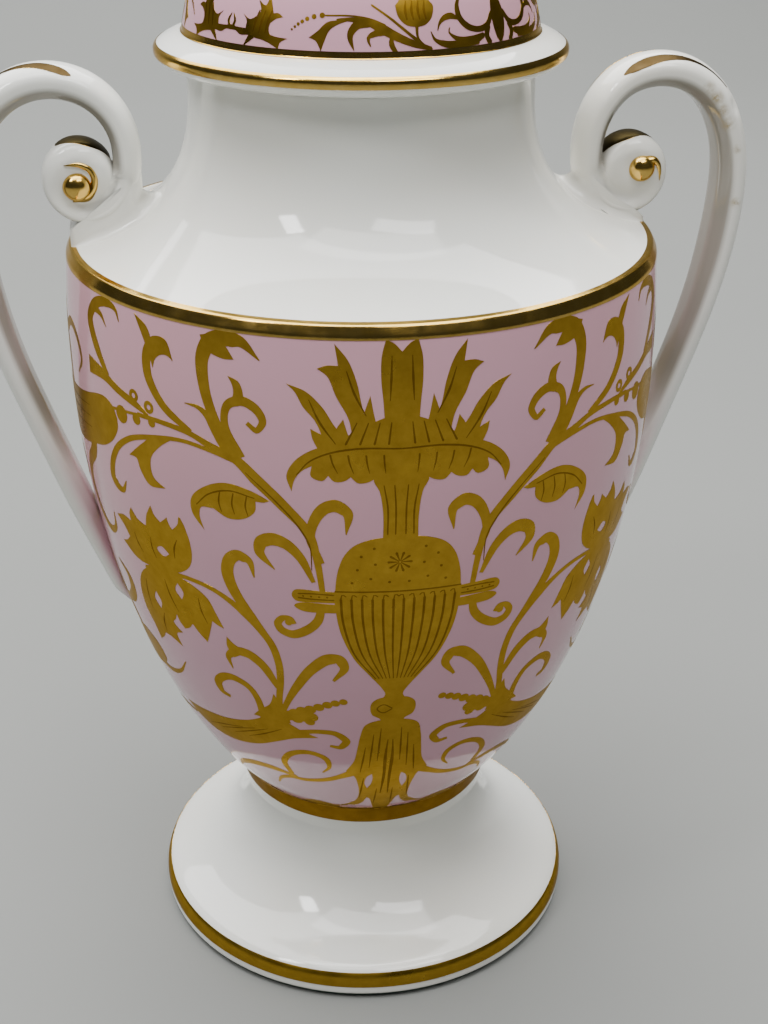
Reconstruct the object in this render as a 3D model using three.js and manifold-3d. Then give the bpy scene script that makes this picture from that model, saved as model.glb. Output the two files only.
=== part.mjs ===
// A covered two-handled mantel urn in porcelain: one body with neck, foot and scroll handles,
// a separate domed lid that rests on the neck, and a felt pad under the foot.
// Millimetres, +Z up, handles along X, front facing -Y, standing on Z = 0.
import * as THREE from 'three';
import { mergeVertices } from 'three/addons/utils/BufferGeometryUtils.js';
import Module from 'manifold-3d';

// Driving dimensions
const WALL = 5; // thickness of the thrown walls
const GAP = 0.3; // clearance between pieces that rest on each other
const TURNS = 44; // facets round the axis of the body
const LID_TURNS = 40;
const FINIAL_TURNS = 20;

const FELT_THICKNESS = 1.6;
const FELT_RADIUS = 69.5;

const FOOT_Z = FELT_THICKNESS + GAP; // underside of the porcelain foot
const FOOT_RADIUS = 71.4;
const FOOT_EDGE = 4; // height of the upright edge of the foot
const FOOT_RING = 6; // width of the ring that the foot stands on
const COVE_RADIUS = 41; // slimmest place, between body and foot
const COVE_Z = 45;

const WAIST_RADIUS = 44.2; // where the body ends above the cove
const WAIST_Z = 57;
const BELLY_RADIUS = 89.4;
const BELLY_Z = 209;
const SHOULDER_RADIUS = 88; // crisp edge between belly and shoulder
const SHOULDER_Z = 237;
const FLOOR_Z = 61; // inside floor of the vessel

const NECK_RADIUS = 50.2;
const NECK_Z = 280; // where the neck stops flaring
const NECK_TOP = 288.7;

const RIM_RADIUS = 59.1; // the lid's rim
const RIM_Z = 293.5;
const DOME_RADIUS = 50.9; // foot of the lid's dome
const DOME_Z = 298.6;
const DOME_TOP_RADIUS = 15;
const DOME_TOP = 343;
const LID_WALL = 4.5;
const SPIGOT_DEPTH = 7; // ring under the lid that drops into the neck
const KNOB_RADIUS = 13;
const KNOB_Z = 367; // middle of the knob
const FINIAL_TOP = 391;

const STRAP_HALF_WIDTH = 8; // handle strap, across Y
const STRAP_SIDE = 4.3; // from its crest line in to the inner face
const STRAP_DOME = 3.7; // from its crest line out to the top of the domed outer face
const STRAP_SWELL = 0.9; // extra thickness over the top of the arch
const EYE_X = 82; // centre of the volute
const EYE_Z = 258;
const EYE_RADIUS = 3.1; // the ball in the middle of the volute
const EYE_STAND = 8.4; // how far the ball stands out from the middle plane
const WEB_RADIUS = 8.6; // the recessed disc behind the ball
const WEB_HALF_WIDTH = 5.8;
const PAD_HALF_WIDTH = 7;

// Materials
const porcelain = new THREE.MeshStandardMaterial({ color: 0xe4e3da, roughness: 0.12, metalness: 0 });
const felt = new THREE.MeshStandardMaterial({ color: 0x1f4a33, roughness: 0.95, metalness: 0 });

const wasm = await Module();
wasm.setup();

// ---- helpers ----

// Points along a cubic curve in the (radius, height) plane.
function curve(start, lead, follow, end, steps) {
  const [a, b, c, d] = [start, lead, follow, end].map(([x, y]) => new THREE.Vector2(x, y));
  return new THREE.CubicBezierCurve(a, b, c, d).getPoints(steps);
}

// One outline from pieces that are points or runs of points, without doubled points.
function outline(...pieces) {
  const points = [];
  const add = (piece) => {
    if (piece.isVector2) points.push(piece);
    else if (typeof piece[0] === 'number') points.push(new THREE.Vector2(...piece));
    else piece.forEach(add);
  };
  pieces.forEach(add);
  return points.filter((p, i) => i === 0 || p.distanceTo(points[i - 1]) > 0.05);
}

// Solid of revolution about Z from an outline that runs up the outside, from axis to axis.
function revolve(points, turns = TURNS) {
  const lathe = new THREE.LatheGeometry(points, turns);
  lathe.rotateX(Math.PI / 2);
  return lathe;
}

function toSolid(geometry) {
  const bare = geometry.clone();
  bare.deleteAttribute('normal');
  bare.deleteAttribute('uv');
  const merged = mergeVertices(bare, 1e-3);
  const kept = [];
  const index = merged.index.array;
  for (let i = 0; i < index.length; i += 3) {
    const [a, b, c] = [index[i], index[i + 1], index[i + 2]];
    if (a !== b && b !== c && c !== a) kept.push(a, b, c);
  }
  return new wasm.Manifold(new wasm.Mesh({
    numProp: 3,
    vertProperties: new Float32Array(merged.attributes.position.array),
    triVerts: new Uint32Array(kept),
  }));
}

function toGeometry(solid) {
  const mesh = solid.getMesh();
  const geometry = new THREE.BufferGeometry();
  geometry.setAttribute('position', new THREE.BufferAttribute(new Float32Array(mesh.vertProperties), 3));
  geometry.setIndex(new THREE.BufferAttribute(new Uint32Array(mesh.triVerts), 1));
  geometry.computeVertexNormals();
  return geometry;
}

// Closed skin through rings of equal length, capped at both ends.
function loft(rings) {
  const size = rings[0].length;
  const position = rings.flat().flatMap((p) => [p.x, p.y, p.z]);
  const index = [];
  for (let r = 0; r + 1 < rings.length; r++) {
    for (let i = 0; i < size; i++) {
      const a = r * size + i;
      const b = r * size + ((i + 1) % size);
      index.push(a, b, a + size, b, b + size, a + size);
    }
  }
  const last = (rings.length - 1) * size;
  for (let i = 1; i + 1 < size; i++) {
    index.push(0, i + 1, i);
    index.push(last, last + i, last + i + 1);
  }
  const geometry = new THREE.BufferGeometry();
  geometry.setAttribute('position', new THREE.Float32BufferAttribute(position, 3));
  geometry.setIndex(index);
  return geometry;
}

// ---- vessel ----

function footOutline() {
  const rollTop = FOOT_Z + FOOT_EDGE;
  return [
    [FOOT_RADIUS - 0.6, FOOT_Z],
    [FOOT_RADIUS, FOOT_Z + 0.8],
    curve([FOOT_RADIUS, rollTop], [FOOT_RADIUS, rollTop + 4], [69.5, 11.2], [66, 12.6], 3),
    curve([66, 12.6], [53, 17.5], [COVE_RADIUS, 27], [COVE_RADIUS, COVE_Z], 5),
  ];
}

function bodyOutline(inset = 0, steps = 7) {
  const waist = [WAIST_RADIUS - inset, WAIST_Z + inset];
  const belly = [BELLY_RADIUS - inset, BELLY_Z];
  const edge = [SHOULDER_RADIUS - inset, SHOULDER_Z - inset];
  return [
    curve(waist, [69.3 - inset, 84.7 + inset], [90.2 - inset, 146], belly, steps),
    curve(belly, [BELLY_RADIUS - inset, 219], [88.8 - inset, 228], edge, 2),
  ];
}

function neckOutline(inset = 0, steps = 6) {
  const edge = [SHOULDER_RADIUS - 1.3 - inset, SHOULDER_Z + 2.5 - inset];
  const throat = [NECK_RADIUS - inset, NECK_Z];
  return [
    curve(edge, [62 - inset, 244 - inset], [50.6 - inset, 258 - inset / 2], throat, steps),
    [NECK_RADIUS - inset, NECK_TOP],
  ];
}

function vesselOutline() {
  const underside = [
    [0, FLOOR_Z - 9],
    [28, FLOOR_Z - 12],
    curve([COVE_RADIUS - 6, 40], [COVE_RADIUS - 6, 20], [58, 12], [FOOT_RADIUS - FOOT_RING, 6], 3),
    [FOOT_RADIUS - FOOT_RING, FOOT_Z],
  ];
  const outside = outline(underside, footOutline(), bodyOutline(), neckOutline());
  return outline(outside, cavityOutline().reverse());
}

function cavityOutline(inset = WALL) {
  const floor = [[0, FLOOR_Z], [WAIST_RADIUS - inset - 12, FLOOR_Z]];
  return outline(floor, bodyOutline(inset, 5), neckOutline(inset, 4));
}

// ---- handles, drawn for the +X side in the XZ plane ----

// Crest line of the volute: distance from its eye at a given angle, winding inwards.
const VOLUTE_TURN = [
  [2.9, 14.4],
  [3.7, 11.3],
  [4.6, 10.6],
  [6.3, 9.7],
  [7.9, 9.2],
  [9.6, 8.4],
  [12.4, 6.5],
  [14.4, 4.4],
];

const STRAP_START = 7.4; // angle where the full strap begins and the inner ridge leaves it

function voluteRadius(angle) {
  const next = VOLUTE_TURN.findIndex(([a]) => a > angle);
  const i = next < 0 ? VOLUTE_TURN.length - 1 : Math.max(next, 1);
  const [a0, r0] = VOLUTE_TURN[i - 1];
  const [a1, r1] = VOLUTE_TURN[i];
  return THREE.MathUtils.lerp(r0, r1, (angle - a0) / (a1 - a0));
}

function volutePoint(angle) {
  const radius = voluteRadius(angle);
  return new THREE.Vector2(EYE_X + radius * Math.cos(angle), EYE_Z + radius * Math.sin(angle));
}

// Crest line of the strap: up from the volute, over the arch, and down to the belly.
function strapCurve() {
  const start = volutePoint(VOLUTE_TURN[0][0]);
  const top = new THREE.Vector2(89.5, 285);
  const side = new THREE.Vector2(115.6, 249);
  const lower = new THREE.Vector2(103.4, 192);
  const tail = new THREE.Vector2(78, 119);
  const path = new THREE.CurvePath();
  path.add(new THREE.CubicBezierCurve(start, new THREE.Vector2(66.8, 275.5), new THREE.Vector2(77.5, 285), top));
  path.add(new THREE.CubicBezierCurve(top, new THREE.Vector2(104.6, 285), new THREE.Vector2(115.6, 270.5), side));
  path.add(new THREE.CubicBezierCurve(side, new THREE.Vector2(115.6, 230), new THREE.Vector2(110, 211), lower));
  path.add(new THREE.CubicBezierCurve(lower, new THREE.Vector2(95.4, 168.9), new THREE.Vector2(86.4, 142), tail));
  return path;
}

// Section of the strap as (outward, across) pairs: a domed outer face and a narrower inner one.
function strapSection(dome, side, halfWidth) {
  const section = [];
  for (let k = 3; k >= -3; k--) {
    const a = (k * Math.PI) / 6;
    section.push([dome * Math.cos(a), halfWidth * Math.sin(a)]);
  }
  section.push([-side * 0.7, -halfWidth * 0.96]);
  section.push([-side, -halfWidth * 0.8]);
  section.push([-side, halfWidth * 0.8]);
  section.push([-side * 0.7, halfWidth * 0.96]);
  return section;
}

function placeSection(point, outward, section) {
  return section.map(([out, across]) => new THREE.Vector3(
    point.x + outward.x * out,
    across,
    point.y + outward.y * out,
  ));
}

function strapRings() {
  const rings = [];
  const coil = 7;
  for (let k = 0; k < coil; k++) {
    const t = k / coil;
    const angle = THREE.MathUtils.lerp(STRAP_START, VOLUTE_TURN[0][0], t);
    const outward = new THREE.Vector2(Math.cos(angle), Math.sin(angle));
    const section = strapSection(0.4 + (STRAP_DOME - 0.4) * t, 2.4 + 1.8 * t, STRAP_HALF_WIDTH);
    rings.push(placeSection(volutePoint(angle), outward, section));
  }
  const path = strapCurve();
  const stations = 22;
  for (let k = 0; k <= stations; k++) {
    const t = k / stations;
    const tangent = path.getTangentAt(t);
    const outward = new THREE.Vector2(-tangent.y, tangent.x);
    const swell = STRAP_SWELL * Math.exp(-(((t - 0.2) / 0.12) ** 2));
    const taper = 1 - 0.3 * THREE.MathUtils.smoothstep(t, 0.8, 1);
    const section = strapSection(
      (STRAP_DOME + swell) * taper,
      (STRAP_SIDE + swell) * taper,
      STRAP_HALF_WIDTH * (0.8 + 0.2 * taper),
    );
    rings.push(placeSection(path.getPointAt(t), outward, section));
  }
  return rings;
}

// The inner turn of the volute, a slim ridge that winds in to the ball.
function ridgeRings() {
  const rings = [];
  const steps = 12;
  const last = VOLUTE_TURN[VOLUTE_TURN.length - 1][0];
  for (let k = 0; k <= steps; k++) {
    const angle = THREE.MathUtils.lerp(STRAP_START, last, k / steps);
    const outward = new THREE.Vector2(Math.cos(angle), Math.sin(angle));
    const half = STRAP_HALF_WIDTH - 0.3 - 0.5 * (k / steps);
    const section = [[0, -half], [0, half], [-1.8, half - 1], [-1.8, 1 - half]];
    rings.push(placeSection(volutePoint(angle), outward, section));
  }
  return rings;
}

// Disc across the volute with the ball on each of its faces.
function webSolid() {
  const web = new THREE.CylinderGeometry(WEB_RADIUS, WEB_RADIUS, 2 * WEB_HALF_WIDTH, 20);
  web.translate(EYE_X, 0, EYE_Z);
  const ball = new THREE.SphereGeometry(EYE_RADIUS, 12, 10);
  ball.scale(1, EYE_STAND / EYE_RADIUS, 1);
  const placed = toSolid(ball).translate([EYE_X, 0, EYE_Z]);
  return toSolid(web).add(placed);
}

// Pad that carries the volute on the slope of the shoulder.
function padSolid() {
  const shape = new THREE.Shape();
  shape.moveTo(62, 248);
  shape.lineTo(60.5, 254.5);
  shape.quadraticCurveTo(65.5, 255, 67.5, 261);
  shape.lineTo(74, 256);
  shape.lineTo(88, 253);
  shape.quadraticCurveTo(86.5, 246, 86.6, 239.2);
  shape.lineTo(85, 236.5);
  const pad = new THREE.ExtrudeGeometry(shape, { depth: 2 * PAD_HALF_WIDTH, bevelEnabled: false, curveSegments: 4 });
  pad.rotateX(Math.PI / 2);
  pad.translate(0, PAD_HALF_WIDTH, 0);
  return toSolid(pad);
}

function handleSolid() {
  return toSolid(loft(strapRings()))
    .add(toSolid(loft(ridgeRings())))
    .add(webSolid())
    .add(padSolid());
}

function urnGeometry() {
  const vessel = toSolid(revolve(vesselOutline()));
  const core = toSolid(revolve(outline(cavityOutline(WALL - 1.5), [0, NECK_TOP])));
  const right = handleSolid().subtract(core);
  const left = right.mirror([1, 0, 0]);
  return toGeometry(vessel.add(right).add(left));
}

// ---- lid ----

function domeOutline() {
  const seat = NECK_TOP + GAP;
  const spigot = NECK_RADIUS - WALL - 0.8;
  const inside = [
    [0, DOME_TOP - 9],
    curve([8, DOME_TOP - 9.5], [24, DOME_TOP - 14], [44, 330], [DOME_RADIUS - LID_WALL, DOME_Z + 3], 4),
    [spigot - 3.5, RIM_Z],
    [spigot - 3.5, seat - SPIGOT_DEPTH],
    [spigot - 0.6, seat - SPIGOT_DEPTH],
    [spigot, seat],
  ];
  const rim = [
    [NECK_RADIUS + 1, seat],
    curve([53.5, seat + 0.3], [57, seat + 0.9], [58.6, RIM_Z - 2.4], [RIM_RADIUS, RIM_Z - 0.6], 2),
    curve([RIM_RADIUS, RIM_Z + 0.6], [58.8, RIM_Z + 2], [55, 297.4], [DOME_RADIUS + 0.3, DOME_Z - 0.3], 2),
  ];
  const dome = curve([DOME_RADIUS, DOME_Z], [47.6, 322], [30, 336.5], [DOME_TOP_RADIUS, DOME_TOP], 6);
  return outline(inside, rim, dome, [0, DOME_TOP + 1.5]);
}

function finialOutline() {
  return outline(
    [0, DOME_TOP - 2],
    [DOME_TOP_RADIUS - 1, DOME_TOP - 2],
    curve([DOME_TOP_RADIUS - 1, DOME_TOP + 1.6], [8, 347], [6.4, 350], [6.6, 353.6], 3),
    [9.2, 355],
    [9.2, 357],
    curve([7.4, 358.4], [KNOB_RADIUS + 1.5, KNOB_Z - 4.5], [KNOB_RADIUS, KNOB_Z + 4], [7.6, 379.5], 6),
    curve([6.2, 380.6], [5.4, 384], [4.4, 387.5], [0, FINIAL_TOP], 3),
  );
}

function lidGeometry() {
  const dome = toSolid(revolve(domeOutline(), LID_TURNS));
  const finial = toSolid(revolve(finialOutline(), FINIAL_TURNS));
  return toGeometry(dome.add(finial));
}

// ---- assembly ----

function named(name, geometry, material) {
  const mesh = new THREE.Mesh(geometry, material);
  mesh.name = name;
  return mesh;
}

const pad = revolve(outline([0, 0], [FELT_RADIUS, 0], [FELT_RADIUS, FELT_THICKNESS], [0, FELT_THICKNESS]));
const urn = new THREE.Group();
urn.add(named('urn', urnGeometry(), porcelain));
urn.add(named('lid', lidGeometry(), porcelain));
urn.add(named('felt_pad', toGeometry(toSolid(pad)), felt));

export default urn;
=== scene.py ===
# The porcelain mantel urn, dressed: glazed body with scroll handles, pink ground, gilding, lid and felt pad.
import math
import bpy
import numpy as np
from mathutils import Matrix, Vector
from mathutils.geometry import delaunay_2d_cdt


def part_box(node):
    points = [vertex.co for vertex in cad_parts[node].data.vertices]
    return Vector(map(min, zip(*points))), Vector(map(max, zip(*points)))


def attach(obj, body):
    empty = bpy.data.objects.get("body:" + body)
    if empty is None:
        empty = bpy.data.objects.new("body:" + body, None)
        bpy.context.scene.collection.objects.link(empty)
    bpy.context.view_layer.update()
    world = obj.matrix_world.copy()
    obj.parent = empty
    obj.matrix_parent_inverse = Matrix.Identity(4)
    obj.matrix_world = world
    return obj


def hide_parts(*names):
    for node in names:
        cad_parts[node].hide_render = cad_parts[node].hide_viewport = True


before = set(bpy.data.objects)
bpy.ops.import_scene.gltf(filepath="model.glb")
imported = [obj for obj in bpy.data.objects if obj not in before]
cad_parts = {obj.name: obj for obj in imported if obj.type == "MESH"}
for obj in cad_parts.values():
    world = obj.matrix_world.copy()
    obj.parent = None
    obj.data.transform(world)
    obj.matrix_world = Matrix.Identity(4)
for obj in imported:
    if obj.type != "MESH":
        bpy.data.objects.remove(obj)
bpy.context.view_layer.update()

# ---- driving dimensions, in millimetres unless a comment says otherwise ----

MM = 0.001  # metres in a millimetre

FELT_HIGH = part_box("felt_pad")[1] / MM
FINIAL_TOP = (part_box("lid")[1] / MM).z
GAP = 0.3  # between pieces that rest on each other
WALL = 5

FOOT_Z = FELT_HIGH.z + GAP
FOOT_RADIUS = 71.4
FOOT_RING = 6
FOOT_ROLL = 9.4  # top of the rolled edge above the felt
# Rings of the outline as (radius, height).
COVE = (41, 45)  # slimmest place between body and foot
WAIST = (44.2, 57)
BELLY = (89.4, 209)
SHOULDER = (88, 237)
BEVEL = (86.7, 239.5)
FLOOR_Z = 61
NECK_RADIUS = 50.2
NECK_TOP = 288.7

RIM_RADIUS = 59.1
RIM_Z = 293.5
DOME = (50.9, 298.6)
DOME_TOP = (15, 343)
LID_WALL = 4.5

# The handle is drawn for the +X side, with places as (x, z).
STRAP_TAIL = (77.2, 118)
STRAP_LOWER = (103.4, 192)
STRAP_OUTMOST = (115.6, 249)
STRAP_TOP = (89.5, 285)
STRAP_HALF_WIDTH = 8
STRAP_SIDE = 4.3  # from the outer face's edge to the inner face
STRAP_DOME = 3.7  # how far the outer face rises above its edges
STRAP_SWELL = 0.9  # where the arch turns down to the volute
STRAP_THICKER = 1.4  # beside the shoulder
TAIL_SUNK = 2.2
EYE = (82, 258)  # centre of the volute
VOLUTE_START = 2.9  # angle where the strap leaves the volute, in radians
VOLUTE_END = 15.6
CREST_STEP = 1.7  # spacing of the sections along the strap
COIL_STEP = 0.075  # the same round the volute, in radians
FACE_HALF = 7.6  # half of the volute's width across Y
BOWL = 2.1  # depth of the hollow between the volute's rim and its ball
BOWL_INNER = 2.6  # radius where the hollow has risen again
BALL_RADII = (4.2, 3.6, 4.2)  # of the gilded ball in the volute, along X, Y and Z
BALL_SUNK = 1.4

# The two handles were set on by hand: by side, what the photo shows against the solid's mirrored pair.
ARCH_LIFT = {1: 0, -1: 1.8}  # rise of the arch
COIL_DROP = {1: 2.4, -1: -1.4}  # fall of the whole coil
BALL_PLACE = {1: (2.2, -1.8), -1: (1.1, -0.8)}  # the ball's place from EYE
COMMA_PLACE = {1: (1.2, -2.4), -1: (1.1, -1.9)}
PAD_RISE = {1: 0, -1: 3.4}
NICKS = {1: (111.9, -6.7, 273.6, 0.8), -1: (79.3, -1.8, 287, 0.5)}  # chips in the glaze as (x, y, z, depth)
NICK_SPREAD = 2.2  # twice the square of a chip's reach

PAD_DEPTH = 7.2  # half of the pad under the volute, across Y
PAD_CORNER = 1.6
PAD_SUNK = 0.06  # how far the fillet's foot lies in the shoulder
PAD_SKIRT = 0.9  # how far the pad goes on below that
# Along X: the fillet's radius, and the height of the pad's wall above it.
PAD_FILLET = ((61, 68, 80, 85.5, 86.2), (4.6, 3.4, 2.6, 0.5, 0.4))
PAD_WALL = ((61, 66, 70, 72, 76, 80, 84, 86.2), (3.5, 5.5, 4.5, 3.9, 2.4, 1.9, 2, 1.2))

SKIN = 0.05  # how far the ground colour stands out of the glaze
GILT = 0.11  # how far the gilding stands out of it
STROKE_LIFT = 0.12  # the same on the handles
UNDER = 0.4  # how deep a skin's own underside lies in the wall

FINE_STEP = 0.15  # spacing at which outlines are rounded
LID_ROUNDING = 0.45  # radius of the lid's corners
TURNS = 160  # points round the vessel, the lid and the felt
SECTION_POINTS = 48  # round the strap

# ---- curves and meshes ----


def bezier(start, lead, follow, end, steps=24):
    """Points of a cubic curve."""
    t = np.linspace(0, 1, steps + 1)[:, None]
    a, b, c, d = (np.array(p, float) for p in (start, lead, follow, end))
    return (1 - t) ** 3 * a + 3 * (1 - t) ** 2 * t * b + 3 * (1 - t) * t**2 * c + t**3 * d


def chain(*runs):
    """One polyline from runs of points or single points, without doubled points."""
    points = np.vstack([np.atleast_2d(np.array(run, float)) for run in runs])
    step = np.linalg.norm(np.diff(points, axis=0), axis=1)
    return points[np.r_[True, step > 1e-4]]


def arc_length(points):
    return np.r_[0, np.cumsum(np.linalg.norm(np.diff(points, axis=0), axis=1))]


def resample(points, step):
    """The same line with points an even step apart."""
    s = arc_length(points)
    at = np.linspace(0, s[-1], max(2, int(round(s[-1] / step)) + 1))
    return np.stack([np.interp(at, s, points[:, k]) for k in range(points.shape[1])], -1)


def circle(count):
    """Angles of points evenly round a circle."""
    return np.arange(count) * 2 * math.pi / count


def spoke(angle):
    return np.stack([np.cos(angle), np.sin(angle)], -1)


def rightward(heading):
    """Headings turned a quarter to the right."""
    return np.stack([heading[:, 1], -heading[:, 0]], -1)


def unit(vectors):
    length = np.linalg.norm(vectors, axis=-1, keepdims=True)
    return vectors / np.maximum(length, 1e-9)


def blurred(values, width, closed=False):
    """Values along a line, softened by a bell curve that many samples wide."""
    reach = max(1, int(3 * width))
    bell = np.exp(-0.5 * (np.arange(-reach, reach + 1) / width) ** 2)
    bell /= bell.sum()
    before, after = values[-reach:], values[:reach]
    if not closed:
        before = 2 * values[:1] - values[reach:0:-1]
        after = 2 * values[-1:] - values[-2 : -reach - 2 : -1]
    padded = np.concatenate([before, values, after])
    return np.stack([np.convolve(column, bell, "valid") for column in padded.T], -1)


def softened(points, radius, longest=2.4, turn=0.05):
    """A line with its corners rounded, kept dense only where it bends, and the directions away from it."""
    fine = blurred(resample(points, FINE_STEP), radius / FINE_STEP * 0.6)
    heading = np.unwrap(np.arctan2(*np.gradient(fine, axis=0).T[::-1]))
    kept = [0]
    for i in range(1, len(fine) - 1):
        far = np.linalg.norm(fine[i] - fine[kept[-1]]) > longest
        if far or abs(heading[i] - heading[kept[-1]]) > turn:
            kept.append(i)
    kept.append(len(fine) - 1)
    side = np.stack([np.sin(heading), -np.cos(heading)], -1)
    return fine[kept], side[kept]


def smoothstep(value, low, high):
    t = np.clip((np.asarray(value, float) - low) / (high - low), 0, 1)
    return t * t * (3 - 2 * t)


def placed(name, data):
    """A new object in the scene."""
    made = bpy.data.objects.new(name, data)
    bpy.context.scene.collection.objects.link(made)
    return made


class Shape:
    """Points, normals and faces of one piece, gathered from several surfaces."""

    def __init__(self):
        self.points, self.normals, self.faces, self.slots, self.shade_and_overspray = [], [], [], [], []
        self.count = 0

    def add(self, points, normals, faces, slot=0, shade_and_overspray=0.0):
        """Adds a surface; slot is its material, or one for each face, and the painted shade or blown pink of
        the glaze is one value for each point.
        """
        points = np.reshape(points, (-1, 3))
        self.points.append(points)
        self.normals.append(np.reshape(normals, (-1, 3)))
        self.shade_and_overspray.append(np.broadcast_to(np.ravel(shade_and_overspray), (len(points),)))
        self.faces += [tuple(int(i) + self.count for i in face) for face in faces]
        self.slots += [slot] * len(faces) if np.isscalar(slot) else list(slot)
        self.count += len(points)

    def piece(self, name, materials, stands_for=None):
        """The piece as a Blender object that rides on the urn."""
        mesh = bpy.data.meshes.new(name)
        mesh.from_pydata((np.vstack(self.points) * MM).tolist(), [], self.faces)
        mesh.polygons.foreach_set("material_index", self.slots)
        mesh.polygons.foreach_set("use_smooth", [True] * len(self.faces))
        shade_and_overspray = mesh.attributes.new("shade_and_overspray", "FLOAT", "POINT")
        shade_and_overspray.data.foreach_set("value", np.concatenate(self.shade_and_overspray).astype(np.float32))
        mesh.normals_split_custom_set_from_vertices(np.vstack(self.normals).tolist())
        for material in materials:
            mesh.materials.append(material)
        made = placed(name, mesh)
        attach(made, "root")
        if stands_for:
            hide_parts(stands_for)


def grid_faces(rows, columns, wrap=True):
    """Quads between rows of points, each row closed on itself if wrap is set."""
    faces = []
    for r in range(rows - 1):
        for c in range(columns if wrap else columns - 1):
            d = (c + 1) % columns
            faces.append((r * columns + c, r * columns + d, (r + 1) * columns + d, (r + 1) * columns + c))
    return faces


def revolved(line, side, turns):
    """Points, normals and faces of a profile turned about Z."""
    across = spoke(circle(turns))[None]
    points, normals = (
        np.concatenate([grid[:, None, :1] * across, np.repeat(grid[:, None, 1:], turns, 1)], -1)
        for grid in (line, side)
    )
    return points, normals, grid_faces(len(line), turns)


def turned(shape, outline, radius=0.5, longest=2.4):
    """Adds the surface of revolution of an outline that runs up the outside, from axis to axis."""
    line, side = softened(outline, radius, longest)
    line[:, 0] = np.maximum(line[:, 0], 0)
    shape.add(*revolved(line, side, TURNS))


def outward(points, normals, faces):
    """The same faces, turned over if they look into the surface."""
    points, normals = points.reshape(-1, 3), normals.reshape(-1, 3)
    a, b, c = (points[faces[len(faces) // 2][k]] for k in (0, 1, 2))
    looks = np.dot(np.cross(b - a, c - a), normals[faces[len(faces) // 2][0]])
    return faces if looks > 0 else [tuple(reversed(face)) for face in faces]


def tube(points, normals):
    """Faces of a tube of rings, capped at both ends and looking outwards."""
    stations, around = points.shape[:2]
    first = tuple(range(around))
    last = tuple(i + (stations - 1) * around for i in first)
    return outward(points, normals, grid_faces(stations, around) + [first[::-1], last])


def outline_edges(faces):
    """Directed edges that only one face has."""
    seen = {}
    for face in faces:
        for i, corner in enumerate(face):
            seen[(corner, face[(i + 1) % len(face)])] = True
    return [edge for edge in seen if (edge[1], edge[0]) not in seen]


def add_skin(shape, base, normal, faces, lift, slot=0):
    """A thin closed skin: its face stands lift above the base, and its underside lies in the wall."""
    base, normal = np.reshape(base, (-1, 3)), np.reshape(normal, (-1, 3))
    count = len(base)
    faces = [tuple(int(i) for i in face) for face in faces]
    points = np.vstack([base + normal * lift, base - normal * UNDER])
    under = [tuple(count + i for i in reversed(face)) for face in faces]
    rim = [(b, a, a + count, b + count) for a, b in outline_edges(faces)]
    top = [slot] * len(faces) if np.isscalar(slot) else slot
    shape.add(points, np.vstack([normal, -normal]), faces + under + rim, [*top, *top, *[0] * len(rim)])


def add_ring(shape, outline, start, end, lift, slot=0, step=0.45, radius=0.5, turns=224):
    """A skin round the urn over the stretch of an outline between two (radius, height) places."""
    line, side = softened(outline, radius, longest=step, turn=0.08)
    ends = sorted(int(np.argmin(np.linalg.norm(line - np.array(place), axis=1))) for place in (start, end))
    part = slice(ends[0], ends[1] + 1)
    add_skin(shape, *revolved(line[part], side[part], turns), lift, slot)


# ---- outlines ----


def foot_outline():
    top = FOOT_Z + FOOT_ROLL - 1.9
    return chain(
        (FOOT_RADIUS - FOOT_RING, FOOT_Z),
        (FOOT_RADIUS - 0.6, FOOT_Z),
        (FOOT_RADIUS, FOOT_Z + 0.8),
        bezier((FOOT_RADIUS, FOOT_Z + 4), (FOOT_RADIUS, top + 0.5), (69.5, 11.2), (66, 12.6)),
        bezier((66, 12.6), (53, 17.5), (COVE[0], 27), COVE),
    )


def belly_outline(inset=0.0):
    waist = (WAIST[0] - inset, WAIST[1] + inset)
    belly = (BELLY[0] - inset, BELLY[1])
    edge = (SHOULDER[0] - inset, SHOULDER[1] - inset)
    return chain(
        bezier(waist, (69.3 - inset, 84.7 + inset), (90.2 - inset, 146), belly, 90),
        bezier(belly, (BELLY[0] - inset, 219), (88.8 - inset, 228), edge, 16),
    )


def neck_outline(inset=0.0):
    edge = (BEVEL[0] - inset, BEVEL[1] - inset)
    throat = (NECK_RADIUS - inset, 280)
    return chain(
        bezier(edge, (62 - inset, 244 - inset), (50.6 - inset, 258 - inset / 2), throat, 50),
        (NECK_RADIUS - inset, NECK_TOP),
    )


def vessel_outline():
    underside = chain(
        (0, FLOOR_Z - 9),
        (28, FLOOR_Z - 12),
        bezier((COVE[0] - 6, 40), (COVE[0] - 6, 20), (58, 12), (FOOT_RADIUS - FOOT_RING, 6)),
    )
    cavity = chain((0, FLOOR_Z), (WAIST[0] - WALL - 12, FLOOR_Z), belly_outline(WALL), neck_outline(WALL))
    return chain(underside, foot_outline(), belly_outline(), neck_outline(), cavity[::-1])


def dome_outline():
    return bezier(DOME, (47.6, 322), (30, 336.5), DOME_TOP, 60)


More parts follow.
